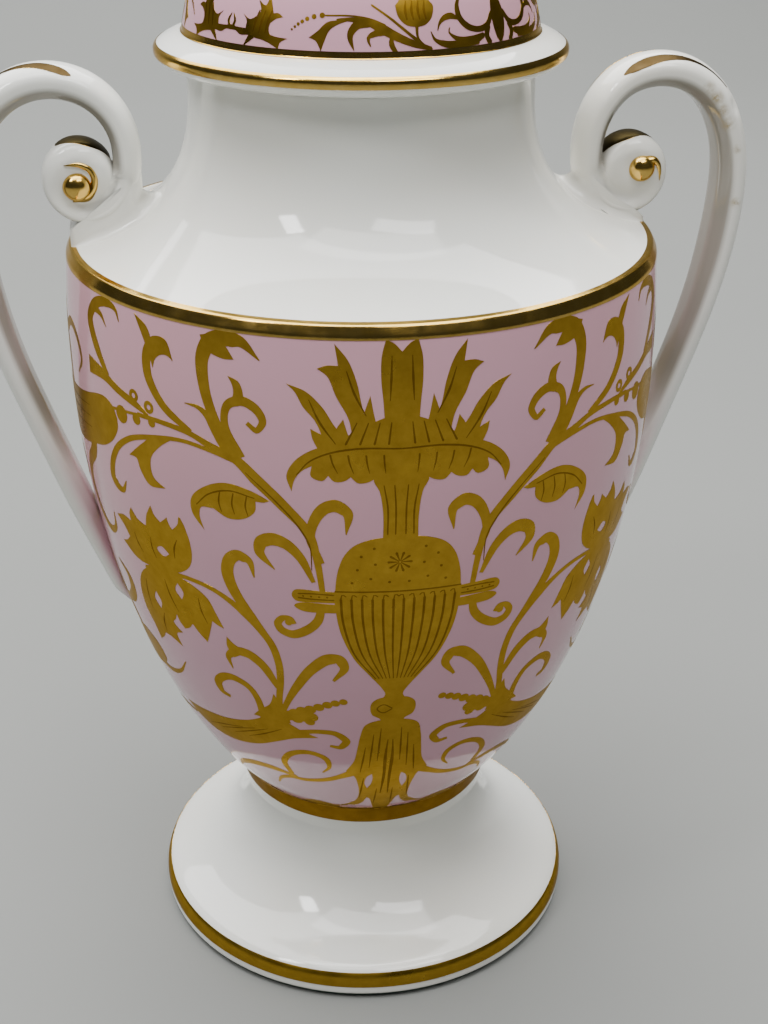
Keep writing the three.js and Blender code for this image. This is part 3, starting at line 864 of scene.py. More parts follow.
def draw_main_stem(d):
    """The stem that rises from the vase's arm and the leaves that curl off it."""
    d.hook(
        [(13.5, 75.4), (14, 66), (15.2, 56), (19.4, 47.4), (24, 40.4), (28.2, 35), (30.8, 33.8),
         (33, 32.8), (38, 30.4), (44, 29.7), (50, 30)], (1.6, 2, 2.6, 3.4, 3.6, 2.6, 1.7, 1.5, 1.3),
    )
    d.stroke([(15.8, 68), (16, 60), (18.4, 53), (22.4, 46), (27, 39.6)], (0.15, 0.35, 0.3, 0.15), CHASED)
    d.hook(
        [(29.6, 36), (33.4, 26), (35.5, 16), (35.8, 8), (34, 2.6), (30.6, 0.7), (26.8, 1.9), (23.8, 7.5)],
        (2.8, 2.9, 3.2, 3.9, 4.8, 4, 0.3),
    )
    d.leaf([(33.6, 2.4), (30.6, 4), (28.5, 8.2)], [(30.6, 8.4), (33.8, 6.6), (35, 3)])
    d.stroke(
        [(29.6, 35), (32.2, 28.8), (33.9, 24.9), (35.8, 23.1), (38.4, 22.8)], (3.6, 3.6, 2.8, 1.4, 0.2),
    )
    d.hook(
        [(28.4, 36), (31.2, 27), (30.4, 20), (27.2, 17.8), (24.1, 20), (22.8, 24.4), (24.6, 27.8),
         (26.6, 25.6)], (2.6, 2.4, 2.2, 2.8, 2.6, 2, 1.2),
    )
    d.leaf(
        [(29.6, 21), (28.7, 17.5), (28.9, 15), (29.7, 12.8)], [(27.7, 14), (26.9, 17), (27, 19.8)],
        [(29.6, 21)],
    )
    d.hook(
        [(37.6, 31.6), (43.8, 26.4), (47.6, 18.4), (47.8, 11), (45.6, 6.7), (42.4, 6.5), (40.7, 11.8)],
        (1.6, 2.4, 2.8, 3.2, 3.4, 2.4, 0.3),
    )
    d.leaf(
        [(40.7, 11.8), (42.2, 10.8), (43.6, 11.2), (44.8, 12.8), (45.4, 15.4)],
        [(46.6, 9), (43, 7.4), (40.7, 11.8)],
    )
    d.leaf([(46.2, 12), (47.6, 8), (50, 1.8)], [(46.8, 4.4), (45.4, 8.4)], [(46.2, 12)])
    d.leaf(
        [(46, 30.6), (50, 27), (55, 24.9), (60.4, 22), (66, 20.4)], [(66, 25.8)],
        [(60, 25.4), (56, 27), (50, 29.2), (46, 30.6)],
    )
    d.hook(
        [(59, 24), (63.8, 16.4), (66, 9), (63.4, 3), (58.6, 0.9), (55.2, 2.6), (54.3, 5.9)],
        (1.8, 3.4, 3.6, 3.4, 2.6, 0.4),
    )
    d.stroke([(63.4, 5.4), (60.4, 6.4), (58.6, 9.2)], (2.4, 1.6, 0.2))
    d.hook(
        [(27.8, 36.6), (33, 34.6), (39.4, 33.5), (46.4, 35.2), (53.2, 38.6), (58.2, 44.2), (61.1, 51),
         (61.6, 56.4), (59.6, 59.2), (57.2, 58.8), (55.8, 54.4)],
        (1.3, 1.2, 1.2, 1.4, 1.7, 2, 2.6, 3.2, 0.4),
    )
    d.leaf(
        [(40.6, 33.6), (46, 35.4), (49.8, 39.6), (53.6, 44.6)],
        [(51.4, 44.6), (50.8, 47.4), (48.6, 51.6), (44.4, 50.8)],
        [(47.2, 48.4), (47.4, 43), (45, 38.4), (40.6, 33.6)],
    )
    d.leaf(
        [(22.8, 47.2), (26.4, 44.8), (31, 43.8), (35.2, 46.2), (38.4, 50.8), (38.6, 55.6), (36.3, 60.4)],
        [(37, 55.8), (36.4, 53.1), (33.8, 52.6)], [(31, 54.7), (27.6, 53.8), (25.6, 51), (25.4, 48)],
        [(23.8, 47.9), (22.8, 47.2)],
    )
    d.stroke([(25.6, 47), (30.4, 46), (34.6, 48.4), (37.4, 52.6)], (0.2, 0.35, 0.2), CHASED)
    for a in (27, 29.6, 32.2):
        d.stroke([(a, 46.6), (a + 0.4, 50), (a, 53)], (0.25, 0.35, 0.15), CHASED)
    d.hook(
        [(14.4, 66), (16.6, 58), (15.8, 51), (13.8, 46.6), (11, 45.3), (8.3, 49), (9.4, 56)],
        (1.6, 2.4, 2.8, 3.4, 3.8, 3, 0.3),
    )
    d.hook(
        [(15.2, 72), (17, 63.6), (19.8, 58.6), (22.9, 57.1), (25.9, 59.4), (26.3, 64.4), (22.8, 69.2)],
        (1.2, 2.4, 3.2, 4, 4, 3, 0.3),
    )
    for place in ((46.9, 27.3), (50.8, 25.5)):
        d.dot(place, 1.9)
        d.dot(place, 0.75, HOLE)
    for place, radius in (((46.4, 31.6), 1.4), ((50.4, 32.3), 1.7), ((54.8, 32.9), 2.7)):
        d.dot(place, radius)
    d.stroke([(49, 30.6), (54, 31.6), (59, 32.6)], (0.9, 0.9))


def draw_side(d):
    """The flask under the handle and the leaves that trail down from it."""
    d.leaf(
        [(56.4, 35.2), (57.6, 32), (60.4, 30.4), (64, 31.2), (68, 33), (74, 35), (82, 36.4), (90, 36.4)],
        [(90, 52)], [(80, 53), (72, 51), (66.8, 48.6), (61.8, 46), (58.2, 42), (56.5, 38), (56.4, 35.2)],
    )
    for s in (38.6, 42, 45.6):
        d.stroke([(68, s - 1.6), (76, s), (89, s + 0.8)], (0.15, 0.4, 0.4), CHASED)
    d.stroke(
        [(67.4, 44), (69, 52), (73, 58), (75.2, 66), (73, 74), (68.4, 78), (65, 75.4), (64, 69.6)],
        (4.6, 4.2, 3.2, 3.2, 2.8, 0.4),
    )
    d.stroke([(82, 20), (79, 17), (75.6, 16.8), (72.2, 19.6), (70.4, 24.4), (73, 29.5)], (3.4, 2.4, 2, 0.5))
    d.stroke([(90, 14), (86, 18), (82, 25), (80, 36.6)], (4.2, 3.2, 2.4))
    d.stroke([(90, 62), (85.6, 58.8), (81, 60), (79.6, 64.6), (82, 69)], (3.8, 2.6, 2, 0.5))
    d.stroke([(74.4, 107), (70, 105), (66, 99.4), (65.7, 93.4), (69.6, 90)], (2.4, 4.2, 3.6, 0.5))
    d.stroke([(90, 82), (84, 84.6), (79.6, 91), (77, 99), (74, 107), (71.6, 116)], (1.4, 2, 2.8, 3))
    d.leaf(
        [(72.4, 131.4), (66, 129.6), (61.6, 124), (62.6, 118.4), (68, 115.6), (74, 118)],
        [(74.4, 126), (72.4, 131.4)],
    )
    d.stroke([(67, 128.6), (61, 128.4), (55.4, 124.6), (51.3, 118)], (2.8, 1.8, 0.4))
    d.stroke([(90, 100), (85.4, 104), (82.6, 111), (84.6, 117.6), (90, 119.4)], (3, 2.6, 2.2))
    d.stroke([(73, 127), (79, 133), (90, 136)], (3.4, 2.6, 2.2))
    d.stroke([(60, 147.4), (70, 149.4), (80, 155), (90, 157)], (1.2, 2.8, 1.8))
    d.stroke([(74, 152), (72.6, 160), (76, 166), (81, 165), (81.6, 160.6)], (2, 2.4, 0.6))


def draw_lower_stem(d):
    """The lower scroll: a stem up to the flowers, hooks, berries and a long boat-shaped leaf."""
    d.hook(
        [(25.8, 131), (24.8, 120), (23.7, 112), (23.4, 104), (24.5, 96), (27.8, 88.6), (31.8, 83.2),
         (36.8, 79.8), (41.8, 78.9), (48, 79.6)], (2, 2, 2.2, 2.4, 2.6, 2.6, 1.7, 1.5, 1.5),
    )
    d.hook(
        [(26.4, 95), (29.6, 88), (32.7, 80), (33.8, 73), (32.5, 67), (29.8, 64.6), (27, 67), (26.8, 73)],
        (2, 3, 3.6, 4, 3.8, 3.2, 0.4),
    )
    d.hook(
        [(26.8, 128), (21.6, 112), (18, 103.6), (14, 98.4), (10.6, 99), (9.5, 104), (12.6, 109.6)],
        (1.6, 2, 2.8, 3.4, 4.2, 3.2, 0.9),
    )
    d.hook(
        [(24.6, 115), (26.8, 106), (30.2, 101.4), (34, 101.4), (36.8, 106), (35.8, 111.2)],
        (1.8, 3, 3.6, 3.6, 2.6, 0.3),
    )
    d.leaf([(34.6, 106), (35.8, 102), (35.4, 98)], [(33.6, 100.6), (30.6, 102)], [(34.6, 106)])
    d.hook(
        [(30, 133), (30.4, 122), (32.3, 116.6), (36.4, 114), (40, 115.4), (42.6, 120), (41.8, 124.8),
         (39.2, 126)], (2.6, 2.4, 2.4, 2.8, 3, 2.8, 1.4),
    )
    d.leaf(
        [(33.7, 131), (31.2, 127.2), (28.4, 123.6), (26.8, 118.3)], [(24.8, 125.8), (24, 131.4)],
        [(33.7, 131)],
    )
    berries = (
        (24.9, 128), (22.4, 125.8), (20.6, 124.2), (18.6, 123), (16.6, 121.6), (14.6, 120.2),
        (12.8, 119.2), (11, 118.4),
    )
    for k, place in enumerate(berries):
        d.dot(place, 2.2 - 0.13 * k)
    for place, radius in (
        ((22.2, 128.6), 1.9), ((20.2, 127.2), 2.3), ((18.6, 126.6), 2.1), ((19.2, 129.2), 1.6),
        ((23.8, 127.4), 2.3),
    ):
        d.dot(place, radius)
    d.leaf(
        [(30.6, 130.6), (36, 135), (43, 138.4), (52.8, 141), (61.8, 143.2)],
        [(58, 148), (52.8, 151), (45, 151), (36, 147.6), (29, 142.6), (23.8, 139), (17.8, 137)],
        [(21.6, 134.4), (26, 130)],
    )
    for k in range(4):
        d.stroke(
            [(27 + 4 * k, 135.4 + 1.6 * k), (33 + 5 * k, 140.6 + 1.3 * k), (38 + 5 * k, 144.4 + k)],
            (0.15, 0.4, 0.15), CHASED,
        )
    d.hook(
        [(24, 134.6), (17, 132.6), (12.6, 133.2), (9.8, 137.8), (12, 142.2), (15.2, 141.4)],
        (2.6, 2, 2.2, 2.6, 2.4, 1.2),
    )


def draw_flowers(d):
    """The two ragged flower heads at the end of the lower stem."""
    d.leaf(
        [(41, 61), (40.2, 66), (40.2, 71), (41.4, 75.4), (45, 79.2), (51.8, 81.2), (57.9, 81.4),
         (62.2, 78)], [(60.2, 76.6), (58.8, 74.6)], [(60, 71.8), (62.4, 69)], [(59.6, 67.6), (56.8, 68)],
        [(56.9, 65.4), (56, 63)], [(54.2, 65.8), (51.8, 66.7)], [(51.8, 66.6)], [(51, 62.6), (49.3, 58.6)],
        [(48.6, 61.4), (47.2, 63)], [(45.6, 61), (45.2, 60.4)], [(44.9, 62.4), (44.2, 64)],
        [(42.6, 61.4), (42, 58.6), (41, 61)],
    )
    d.leaf([(46.2, 73.4), (48, 71.6), (49.6, 73.2), (48, 75), (46.2, 73.4)], [(46.3, 73.3)], kind=HOLE)
    d.leaf(
        [(46, 80), (41.4, 81.8), (38.2, 85), (36.8, 90), (35.6, 95)], [(37, 94.4), (38.2, 93.4)],
        [(39.4, 98), (40.9, 103)], [(42.6, 100.6), (44, 97.6)], [(45.2, 99.8), (46.9, 101.2)],
        [(48, 99), (48.4, 96.4)], [(49.2, 98.8), (50.4, 100.6)], [(49.6, 102.2), (48.2, 103.6)],
        [(50.5, 105.6), (50, 110.4)], [(53, 108.6), (55.4, 108.4)], [(56.8, 111), (58.9, 113.4)],
        [(59.4, 108), (60.8, 102), (60.2, 94), (58, 87.4), (53.4, 82), (46, 80)],
    )
    for a, s, tall in ((45.6, 86.2, 3), (53.8, 94.4, 3.4)):
        d.leaf([(a, s - tall), (a + 1.1, s), (a - 0.2, s + tall)], [(a - 1.1, s), (a, s - tall)], kind=HOLE)
    for a, low, b, high in (
        (43.4, 67, 44.8, 74), (51, 70, 50.4, 77), (56.4, 71.6, 54.6, 77.6), (40.6, 86, 39.6, 95),
        (49.4, 84, 47.4, 95), (56.4, 88, 57.4, 100), (53, 99, 54.4, 107),
    ):
        d.stroke([(a, low), ((a + b) / 2 + 0.4, (low + high) / 2), (b, high)], (0.15, 0.45, 0.15), CHASED)
    d.stroke([(44, 80), (50, 80.6), (55, 83)], (1.6, 1.8, 1.2))


# ---- gilding of the lid ----


def draw_lid_palmette(d):
    """The palmette on the border's mirror line with the crescents round it."""
    d.leaf([(0, 1.2), (1.6, 3), (2.7, 6.5), (2.8, 9.5), (2, 12.5), (0, 15.5)], [(0, 1.2)])
    d.stroke(
        [(2.6, 9.4), (5.1, 6.5), (9.4, 5.7), (13.7, 7.1), (15.8, 9.5), (15.9, 12.2), (14, 15)],
        (1.2, 1.7, 1.5, 1.7, 1.6, 0.4),
    )
    d.stroke([(16.2, 8.8), (18.7, 9.7), (21.6, 9), (23, 7.6), (23.5, 6.3)], (0.6, 1.6, 1.6, 1, 0.2))
    d.stroke([(4.8, 1.8), (5.9, 3.8), (5.1, 6.1)], (1.7, 1.6, 2))
    d.stroke(
        [(7.3, 4), (10.9, 3.2), (15.1, 3.4), (18.4, 4.5), (19.9, 5.9), (19.4, 6.8)],
        (1.4, 2.2, 2.2, 1.6, 1, 0.2),
    )
    d.stroke([(9.4, 2.2), (16.6, 2.4), (21.6, 2.9), (24.8, 4.3), (25.7, 6.1)], (0.6, 1.2, 2, 1.6, 0.3))


def draw_lid_thistle(d):
    d.leaf(
        [(30.1, 7.4), (33.6, 8.2), (35.8, 10.4), (36.4, 13)], [(35, 14.6), (35.4, 16.6)],
        [(32.6, 15), (31, 18.2)], [(29.2, 15), (25.8, 17)],
        [(25.4, 14), (24.2, 12.6), (25, 9.8), (27.2, 8), (30.1, 7.4)],
    )
    for a in (27, 29, 31, 33):
        d.stroke([(a, 9.4), (a + 0.4, 11.6), (a, 14)], (0.3, 0.5, 0.2), CHASED)
    d.stroke([(30.1, 7.8), (30, 5), (28.6, 3)], (0.9, 0.6, 0.8))
    d.stroke([(28.4, 3), (33, 6.2), (38, 9.8), (43.6, 13.2)], (0.9, 0.7, 0.5))


def draw_lid_scroll(d):
    """The scroll of leaves between the thistle and the large flower, with its string of beads."""
    d.stroke(
        [(26, 2), (31.6, 3.5), (36.6, 5.4), (40.9, 7.4), (45, 9), (50, 9.6), (54, 9.5)],
        (1, 1.7, 2.1, 2.5, 1.8, 1.2, 0.6),
    )
    d.leaf(
        [(50.4, 9.3), (56.9, 8.9), (59.8, 6.6), (62.4, 4.9)], [(60.2, 4.1), (58.6, 1.6)],
        [(57.5, 4.4), (56.4, 6.6), (54, 8.2), (50.4, 9.3)],
    )
    d.stroke([(44.4, 8.9), (48.2, 8.2), (50.1, 5.6), (49, 2.1)], (2.4, 2.4, 1.8, 0.3))
    d.stroke([(38.6, 6.6), (42.6, 6.2), (44.8, 4.9), (44.1, 3)], (1.6, 1.9, 1.4, 0.3))
    d.stroke([(37.6, 5.8), (38, 3.6), (36.8, 1.5)], (1, 1.4, 1.2))
    d.stroke([(39.7, 8.2), (44, 9.7), (49.7, 10.5), (57.6, 10.5)], (0.5, 0.4))
    for k, place in enumerate((
        (58.6, 10.5), (61.1, 10.1), (63.2, 9.5), (64.7, 8.8), (65.9, 8.1), (66.9, 7.4), (67.8, 6.7),
    )):
        d.dot(place, 0.72 - 0.07 * k)


def draw_lid_flower(d):
    """The large ragged flower whose stalk meets its mirror image."""
    d.leaf(
        [(69.1, 4.3), (71.5, 3), (71.9, 1.5)], [(74.7, 2.7), (77.2, 3.4), (80.4, 3.8)],
        [(82.6, 2.4), (84.4, 1.3)], [(83.6, 2.8), (82.6, 4.3)], [(86.1, 4.2), (87.9, 5), (90, 5)],
        [(90, 6.3)], [(87.6, 6), (84, 5.9)], [(83.8, 7.6), (85.4, 9.4)],
        [(82.8, 8.3), (80.8, 9), (79, 10.7), (80.4, 13.4)], [(77.4, 12.2), (76.4, 15)],
        [(75.2, 12.4), (74.4, 10.3)], [(72.6, 10.4), (71, 9.5)],
        [(73.6, 8.8), (75.4, 7.2), (75.2, 5.3), (73, 4.6), (69.1, 4.3)],
    )
    d.stroke([(89.2, 6), (88.6, 7.4), (89.6, 9.2)], (0.9, 0.8, 0.2))
    for a in (76.6, 78.8, 81):
        d.stroke([(a, 5.2), (a - 0.6, 8), (a - 1.6, 10.8)], (0.2, 0.5, 0.2), CHASED)


def draw_lid_top(d):
    """What the photo cuts off: an upper scroll, its hooks and a ring of pointed leaves under the finial."""
    d.stroke(
        [(0, 20), (8, 19), (18, 20), (28, 24), (40, 25), (54, 21), (66, 20), (78, 23), (90, 26)],
        (2.4, 1.4, 1.4, 1.4, 2.4),
    )
    d.stroke([(90, 16), (84, 18), (78, 17.6), (73, 14.6), (70, 15.6), (71, 18)], (2.6, 2, 1.6, 0.5))
    for a, s, lean in ((16, 20, 1), (34, 25, -1), (52, 22, 1), (70, 21, -1)):
        d.stroke(
            [(a, s), (a + 6 * lean, s + 4), (a + 5 * lean, s + 8), (a - lean, s + 8.4),
             (a - 1.6 * lean, s + 5.6)], (1.4, 2.4, 1.6, 0.5),
        )
        d.stroke([(a + 3, s - 0.5), (a + 9, s - 3.6), (a + 14, s - 3)], (1, 1.8, 0.4))
    for a in range(0, 90, 15):
        d.leaf([(a + 2, 40), (a + 7.5, 34), (a + 13, 40)], [(a + 7.5, 52), (a + 2, 40)])


BELLY_DRAWS = (
    draw_plumes, draw_cloud, draw_vase, draw_husk, draw_main_stem, draw_side, draw_lower_stem, draw_flowers
)
LID_DRAWS = (draw_lid_palmette, draw_lid_thistle, draw_lid_scroll, draw_lid_flower, draw_lid_top)

# ---- gilding of the handles ----

# By side, drops on the strap's outer face: share of the way from tail to volute, across, and width.
STROKES = {
    1: (
        (
            (0.892, -6.4, 0.3), (0.88, -6.1, 2.4), (0.86, -5.6, 3.2), (0.835, -5.1, 2.6), (0.81, -4.9, 1.4),
            (0.785, -5, 0.8), (0.75, -5.2, 0.2),
        ),
        (
            (0.935, 6.4, 0.3), (0.92, 6.1, 2.2), (0.90, 5.6, 3), (0.875, 5, 2.4), (0.85, 4.6, 1.3),
            (0.81, 4.4, 0.2),
        ),
    ),
    -1: (
        (
            (0.868, -6.4, 0.3), (0.86, -5.8, 2.4), (0.845, -4.6, 3.4), (0.83, -3.4, 3.2), (0.81, -2.2, 2.2),
            (0.79, -1.2, 1.3), (0.75, 0, 0.3),
        ),
        ((0.94, 6, 0.3), (0.92, 5.8, 2), (0.90, 5.6, 2.6), (0.88, 5.4, 1.6), (0.86, 5.2, 0.2)),
    ),
}
# By side, the gilded comma round each ball as (outward, up, radius) from COMMA_PLACE.
COMMAS = {
    1: (
        (0, 0, 2.7), (1, 1.4, 2.3), (2.7, 3, 1.6), (4.6, 3.2, 1.1), (6.1, 1.7, 0.8),
        (6.9, -0.8, 0.5), (7, -3.4, 0.12),
    ),
    -1: (
        (0.6, -0.6, 2.8), (-2.6, -1.8, 1.7), (-4.7, 0.6, 1.1), (-5.2, 3.6, 1), (-4, 6.2, 0.95),
        (-1.2, 7.6, 0.85), (3.2, 7.5, 0.12),
    ),
}
COMMA_DEPTH = 0.9
ARC_SPAN = (7.2, 9)  # angles between which the coil's arc of gold lies
ARC_HALF_WIDTH = 6.3
DROP_SLOT, ARC_SLOT = 1, 2


def laid_across(loop, facing, at):
    """Points and normals at places across a section's outer face, from its rear crest to its front crest."""
    last = int(np.argmin(loop[: SECTION_POINTS * 2 // 3, 1]))
    loop, facing = loop[: last + 1][::-1], facing[: last + 1][::-1]
    return [[[np.interp(y, loop[:, 1], grid[:, k]) for k in range(3)] for y in at] for grid in (loop, facing)]


def drop_grid(rows, normals, share_at, stroke):
    """A stroke along the strap's outer face as a grid of points and their normals."""
    scale = np.array((200, 1, 1))
    knots = resample(blurred(resample(np.array(stroke, float) * scale, 0.25), 3), 0.5) / scale
    grid = []
    for share, middle, width in knots:
        station = np.interp(share, share_at, np.arange(len(share_at)))
        low = int(station)
        part = station - low
        loop = rows[low] * (1 - part) + rows[low + 1] * part
        grid.append(laid_across(loop, normals[low], middle + np.linspace(-0.5, 0.5, 7) * max(width, 0.1)))
    return np.array(grid)


def arc_grid(rows, normals, turn):
    """The broad arc on top of the coil as a grid of points and their normals."""
    coil = np.nonzero((turn > ARC_SPAN[0]) & (turn < ARC_SPAN[1]))[0]
    across = np.linspace(-0.9, 0.9, 9) * ARC_HALF_WIDTH
    widths = np.sin(np.linspace(0.25, math.pi - 0.4, len(coil)))
    return np.array([laid_across(rows[i], normals[i], across * wide) for i, wide in zip(coil, widths)])


def add_strap_strokes(shape):
    """The long drops of gold on both arches, and the broad arc on top of each coil."""
    for side, strokes in STROKES.items():
        flip = (side, 1, 1)
        rows, normals = (grid * flip for grid in strap_surface(side))
        along, turn = handle_line(side)[2:]
        share_at = along[turn <= VOLUTE_START]
        grids = [(drop_grid(rows, normals, share_at, stroke), DROP_SLOT) for stroke in strokes]
        for grid, slot in [*grids, (arc_grid(rows, normals, turn), ARC_SLOT)]:
            points, out = grid[:, 0] * flip, unit(grid[:, 1]) * flip
            faces = outward(points, out, grid_faces(*points.shape[:2], wrap=False))
            add_skin(shape, points, out, faces, STROKE_LIFT, slot)


def add_commas(shape):
    """Each ball with the comma that winds off it, on the front and rear faces of both volutes."""
    a = circle(18)[None]
    for side, comma in COMMAS.items():
        knots = resample(blurred(resample(np.array(comma, float), 0.2), 3.5), 0.35)
        middle, radius = knots[:, :2], knots[:, 2:]
        across = rightward(unit(np.gradient(middle, axis=0)))
        flat = middle[:, None] + across[:, None] * (radius * np.cos(a))[..., None]
        place = middle + COMMA_PLACE[side] + (0, COIL_DROP[side])
        top = volute_face(np.arctan2(place[:, 1], place[:, 0]), np.linalg.norm(place, axis=1))[:, None]
        top = top + 0.3 + 0.45 * np.minimum(radius, 1.5)
        depth = top - COMMA_DEPTH * (1 - np.sin(a))
        out, rise = COMMA_PLACE[side]
        for face in (-1, 1):
            points = np.stack([EYE[0] + out + flat[..., 0], face * depth, EYE[1] + rise + flat[..., 1]], -1)
            normals = unit(points - points.mean(1, keepdims=True)) * (side, 1, 1)
            points = points * (side, 1, 1)
            shape.add(points, normals, tube(points, normals))


# ---- materials ----

INNER_FACE_CREAM_AND_SHADE = (0.19, 0.17, 0.135)  # glaze of the handles' inner faces: a cream tint, mostly darkened as painted shade
BLOWN_PINK = (0.60, 0.36, 0.42)
STAIN = (0.33, 0.24, 0.09)
# Old brown stains as (x, y, z, radius, strength), in millimetres.
STAINS = (
    (102.8, -7.9, 279.5, 2.6, 0.6),
    (105.4, -7.9, 276.6, 3.0, 0.9),
    (107.6, -7.7, 272.9, 2.6, 0.9),
    (110.0, -7.7, 268.7, 2.8, 0.9),
    (113.5, -7.9, 261.2, 1.8, 0.7),
    (114.8, -7.9, 244.5, 2.2, 0.9),
)


class Paint:
    """A new material and the few kinds of node that it takes. A value is a number, colour or socket."""

    def __init__(self, name):
        self.material = bpy.data.materials.new(name)
        self.material.use_nodes = True
        self.tree = self.material.node_tree

    def plug(self, socket, value):
        if isinstance(value, bpy.types.NodeSocket):
            self.tree.links.new(value, socket)
        else:
            socket.default_value = (*value, 1) if socket.type == "RGBA" else value

    def node(self, kind, out, values=(), **settings):
        """Adds a node with values for its inputs, and returns one of its outputs."""
        node = self.tree.nodes.new("ShaderNode" + kind)
        for key, setting in settings.items():
            setattr(node, key, setting)
        for key, value in dict(values).items():
            self.plug(node.inputs[key], value)
        return node.outputs[out]

    def noise(self, scale, detail=3, roughness=0.5):
        """Noise laid out over the object's own space, so that it stays with the piece."""
        place = self.node("TexCoord", "Object")
        values = {"Vector": place, "Scale": scale, "Detail": detail, "Roughness": roughness}
        return self.node("TexNoise", "Fac", values)

    def ranged(self, value, low, high, to_low=0, to_high=1):
        values = {"Value": value, "From Min": low, "From Max": high, "To Min": to_low, "To Max": to_high}
        return self.node("MapRange", "Result", values)

    def mixed(self, factor, first, second):
        return self.node("Mix", 2, {"Factor": factor, 6: first, 7: second}, data_type="RGBA")

    def stained(self):
        """Share of brown stain: a ragged spot round each place in STAINS."""
        place = self.node("TexCoord", "Object")
        ragged = self.ranged(self.noise(420, 4, 0.7), 0.35, 0.65)
        total = 0
        for x, y, z, radius, strength in STAINS:
            middle = (x * MM, y * MM, z * MM)
            far = self.node("VectorMath", "Value", {0: place, 1: middle}, operation="DISTANCE")
            spot = self.ranged(far, radius * MM, 0.2 * radius * MM, 0, strength)
            total = self.node("Math", 0, {0: total, 1: spot}, operation="MAXIMUM")
        return self.node("Math", 0, {0: total, 1: ragged}, operation="MULTIPLY")

    def finished(self, colour, roughness, bump=None, **others):
        """The material, its shader set. bump is (height, distance, strength); others have _ for a space."""
        values = {"Base_Color": colour, "Roughness": roughness, **others}
        if bump:
            bumps = dict(zip(("Height", "Distance", "Strength"), bump))
            values["Normal"] = self.node("Bump", "Normal", bumps)
        for key, value in values.items():
            self.plug(self.tree.nodes["Principled BSDF"].inputs[key.replace("_", " ")], value)
        return self.material


def glaze(name, pale, warm, shade_and_marks=False):
    """Fired glaze over porcelain: a colour drifting to a warmer one, with a faint ripple in the gloss."""
    paint = Paint(name)
    colour = paint.mixed(paint.ranged(paint.noise(9), 0.35, 0.7), pale, warm)
    if shade_and_marks:
        # On the handles: painted shade darkens the inner faces; the blown pink and the brown stains are the
        # glaze's own marks.
        shade_and_overspray = paint.node("Attribute", "Fac", attribute_name="shade_and_overspray")
        colour = paint.mixed(paint.ranged(shade_and_overspray, 0, 1, 0, 0.85), colour, INNER_FACE_CREAM_AND_SHADE)
        colour = paint.mixed(paint.ranged(shade_and_overspray, 0, -1, 0, 0.7), colour, BLOWN_PINK)
        colour = paint.mixed(paint.stained(), colour, STAIN)
    roughness = paint.ranged(paint.noise(55, 4, 0.6), 0.3, 0.8, 0.05, 0.11)
    return paint.finished(colour, roughness, (paint.noise(90, 2), 0.00006, 0.5), IOR=1.5)


def gold(name, bright, deep, low, high):
    """Fired gilding, burnished unevenly: colour from bright to deep, roughness from low to high."""
    paint = Paint(name)
    colour = paint.mixed(paint.ranged(paint.noise(260, 4, 0.65), 0.3, 0.75), bright, deep)
    roughness = paint.ranged(paint.noise(120), 0.3, 0.7, low, high)
    edge = [0.5 + 0.5 * share for share in bright]
    return paint.finished(colour, roughness, (paint.noise(700), 0.00004, 0.6), Metallic=1, Specular_Tint=edge)


def felt_cloth():
    paint = Paint("green_felt")
    fibre = paint.noise(1800, 4, 0.8)
    colour = paint.mixed(paint.ranged(fibre, 0.3, 0.75), (0.004, 0.035, 0.016), (0.02, 0.10, 0.05))
    roughness = paint.ranged(fibre, 0.2, 0.8, 0.85, 1)
    return paint.finished(colour, roughness, (fibre, 0.0006, 1), Sheen_Weight=0.4)


# ---- pieces ----

# Bands as (start, end, lift, slot): above and below the pink ground, and on the rolled edge of the foot.
URN_BANDS = (
    ((88.1, 236.2), (85.2, 239.85), GILT + 0.03, 0),
    # Painted shade: the waist band takes the darker chased gilding, for it faces down.
    ((45.2, 58.6), (42.1, 50.2), GILT + 0.03, 2),
    ((FOOT_RADIUS, 5.4), (70.2, 10.2), GILT, 1),
)
# Bands as (start, end, lift, step), from the rim up to the finial's tip.
LID_BANDS = (
    ((59, 292.3), (58.4, 296), GILT, 0.4),
    ((51.3, 298.2), (50.8, 300.2), GILT + 0.02, 0.3),
    ((17.6, 341.8), (13.4, 344.6), GILT + 0.02, 0.4),
    ((9.2, 354.8), (9.2, 357.2), GILT, 0.3),
    ((6.6, 380.2), (0.05, FINIAL_TOP), GILT, 0.5),
)


def make_urn(white, pink, gilt, polished):
    vessel = Shape()
    turned(vessel, vessel_outline())
    for side in (1, -1):
        rows, normals = strap_surface(side)
        # The last value is the painted shade of each strap's inner face, or the blown pink near its tail.
        vessel.add(rows, normals, tube(rows, normals), 0, strap_shade_and_overspray(rows, side))
    add_pads(vessel)
    vessel.piece("urn_porcelain", [white], "urn")
    ground = Shape()
    add_ring(ground, vessel_outline(), (88.05, 236.3), (44.6, 57.6), SKIN, 0, 2.2)
    ground.piece("urn_pink_ground", [pink])
    pattern = Shape()
    lay_drawing(pattern, BELLY_DRAWS, BODY, PATTERN_TURN)
    pattern.piece("urn_arabesque", gilt)
    bands = Shape()
    for band in URN_BANDS:
        add_ring(bands, vessel_outline(), *band)
    bands.piece("urn_gilt_bands", [polished, *gilt])
    strokes = Shape()
    add_strap_strokes(strokes)
    add_balls(strokes)
    add_commas(strokes)
    # The drops' gilding is darkened to brown as painted shade and painted dark reflection.
    drops = gold("drop_gilding_painted_shade", (0.070, 0.047, 0.020), (0.050, 0.032, 0.012), 0.3, 0.42)
    # The coil's arc is gilding given near-black colours as painted shade under the strap.
    arcs = gold("shaded_gilding", (0.060, 0.046, 0.018), (0.040, 0.030, 0.012), 0.3, 0.42)
    strokes.piece("handle_gilding", [polished, drops, arcs])


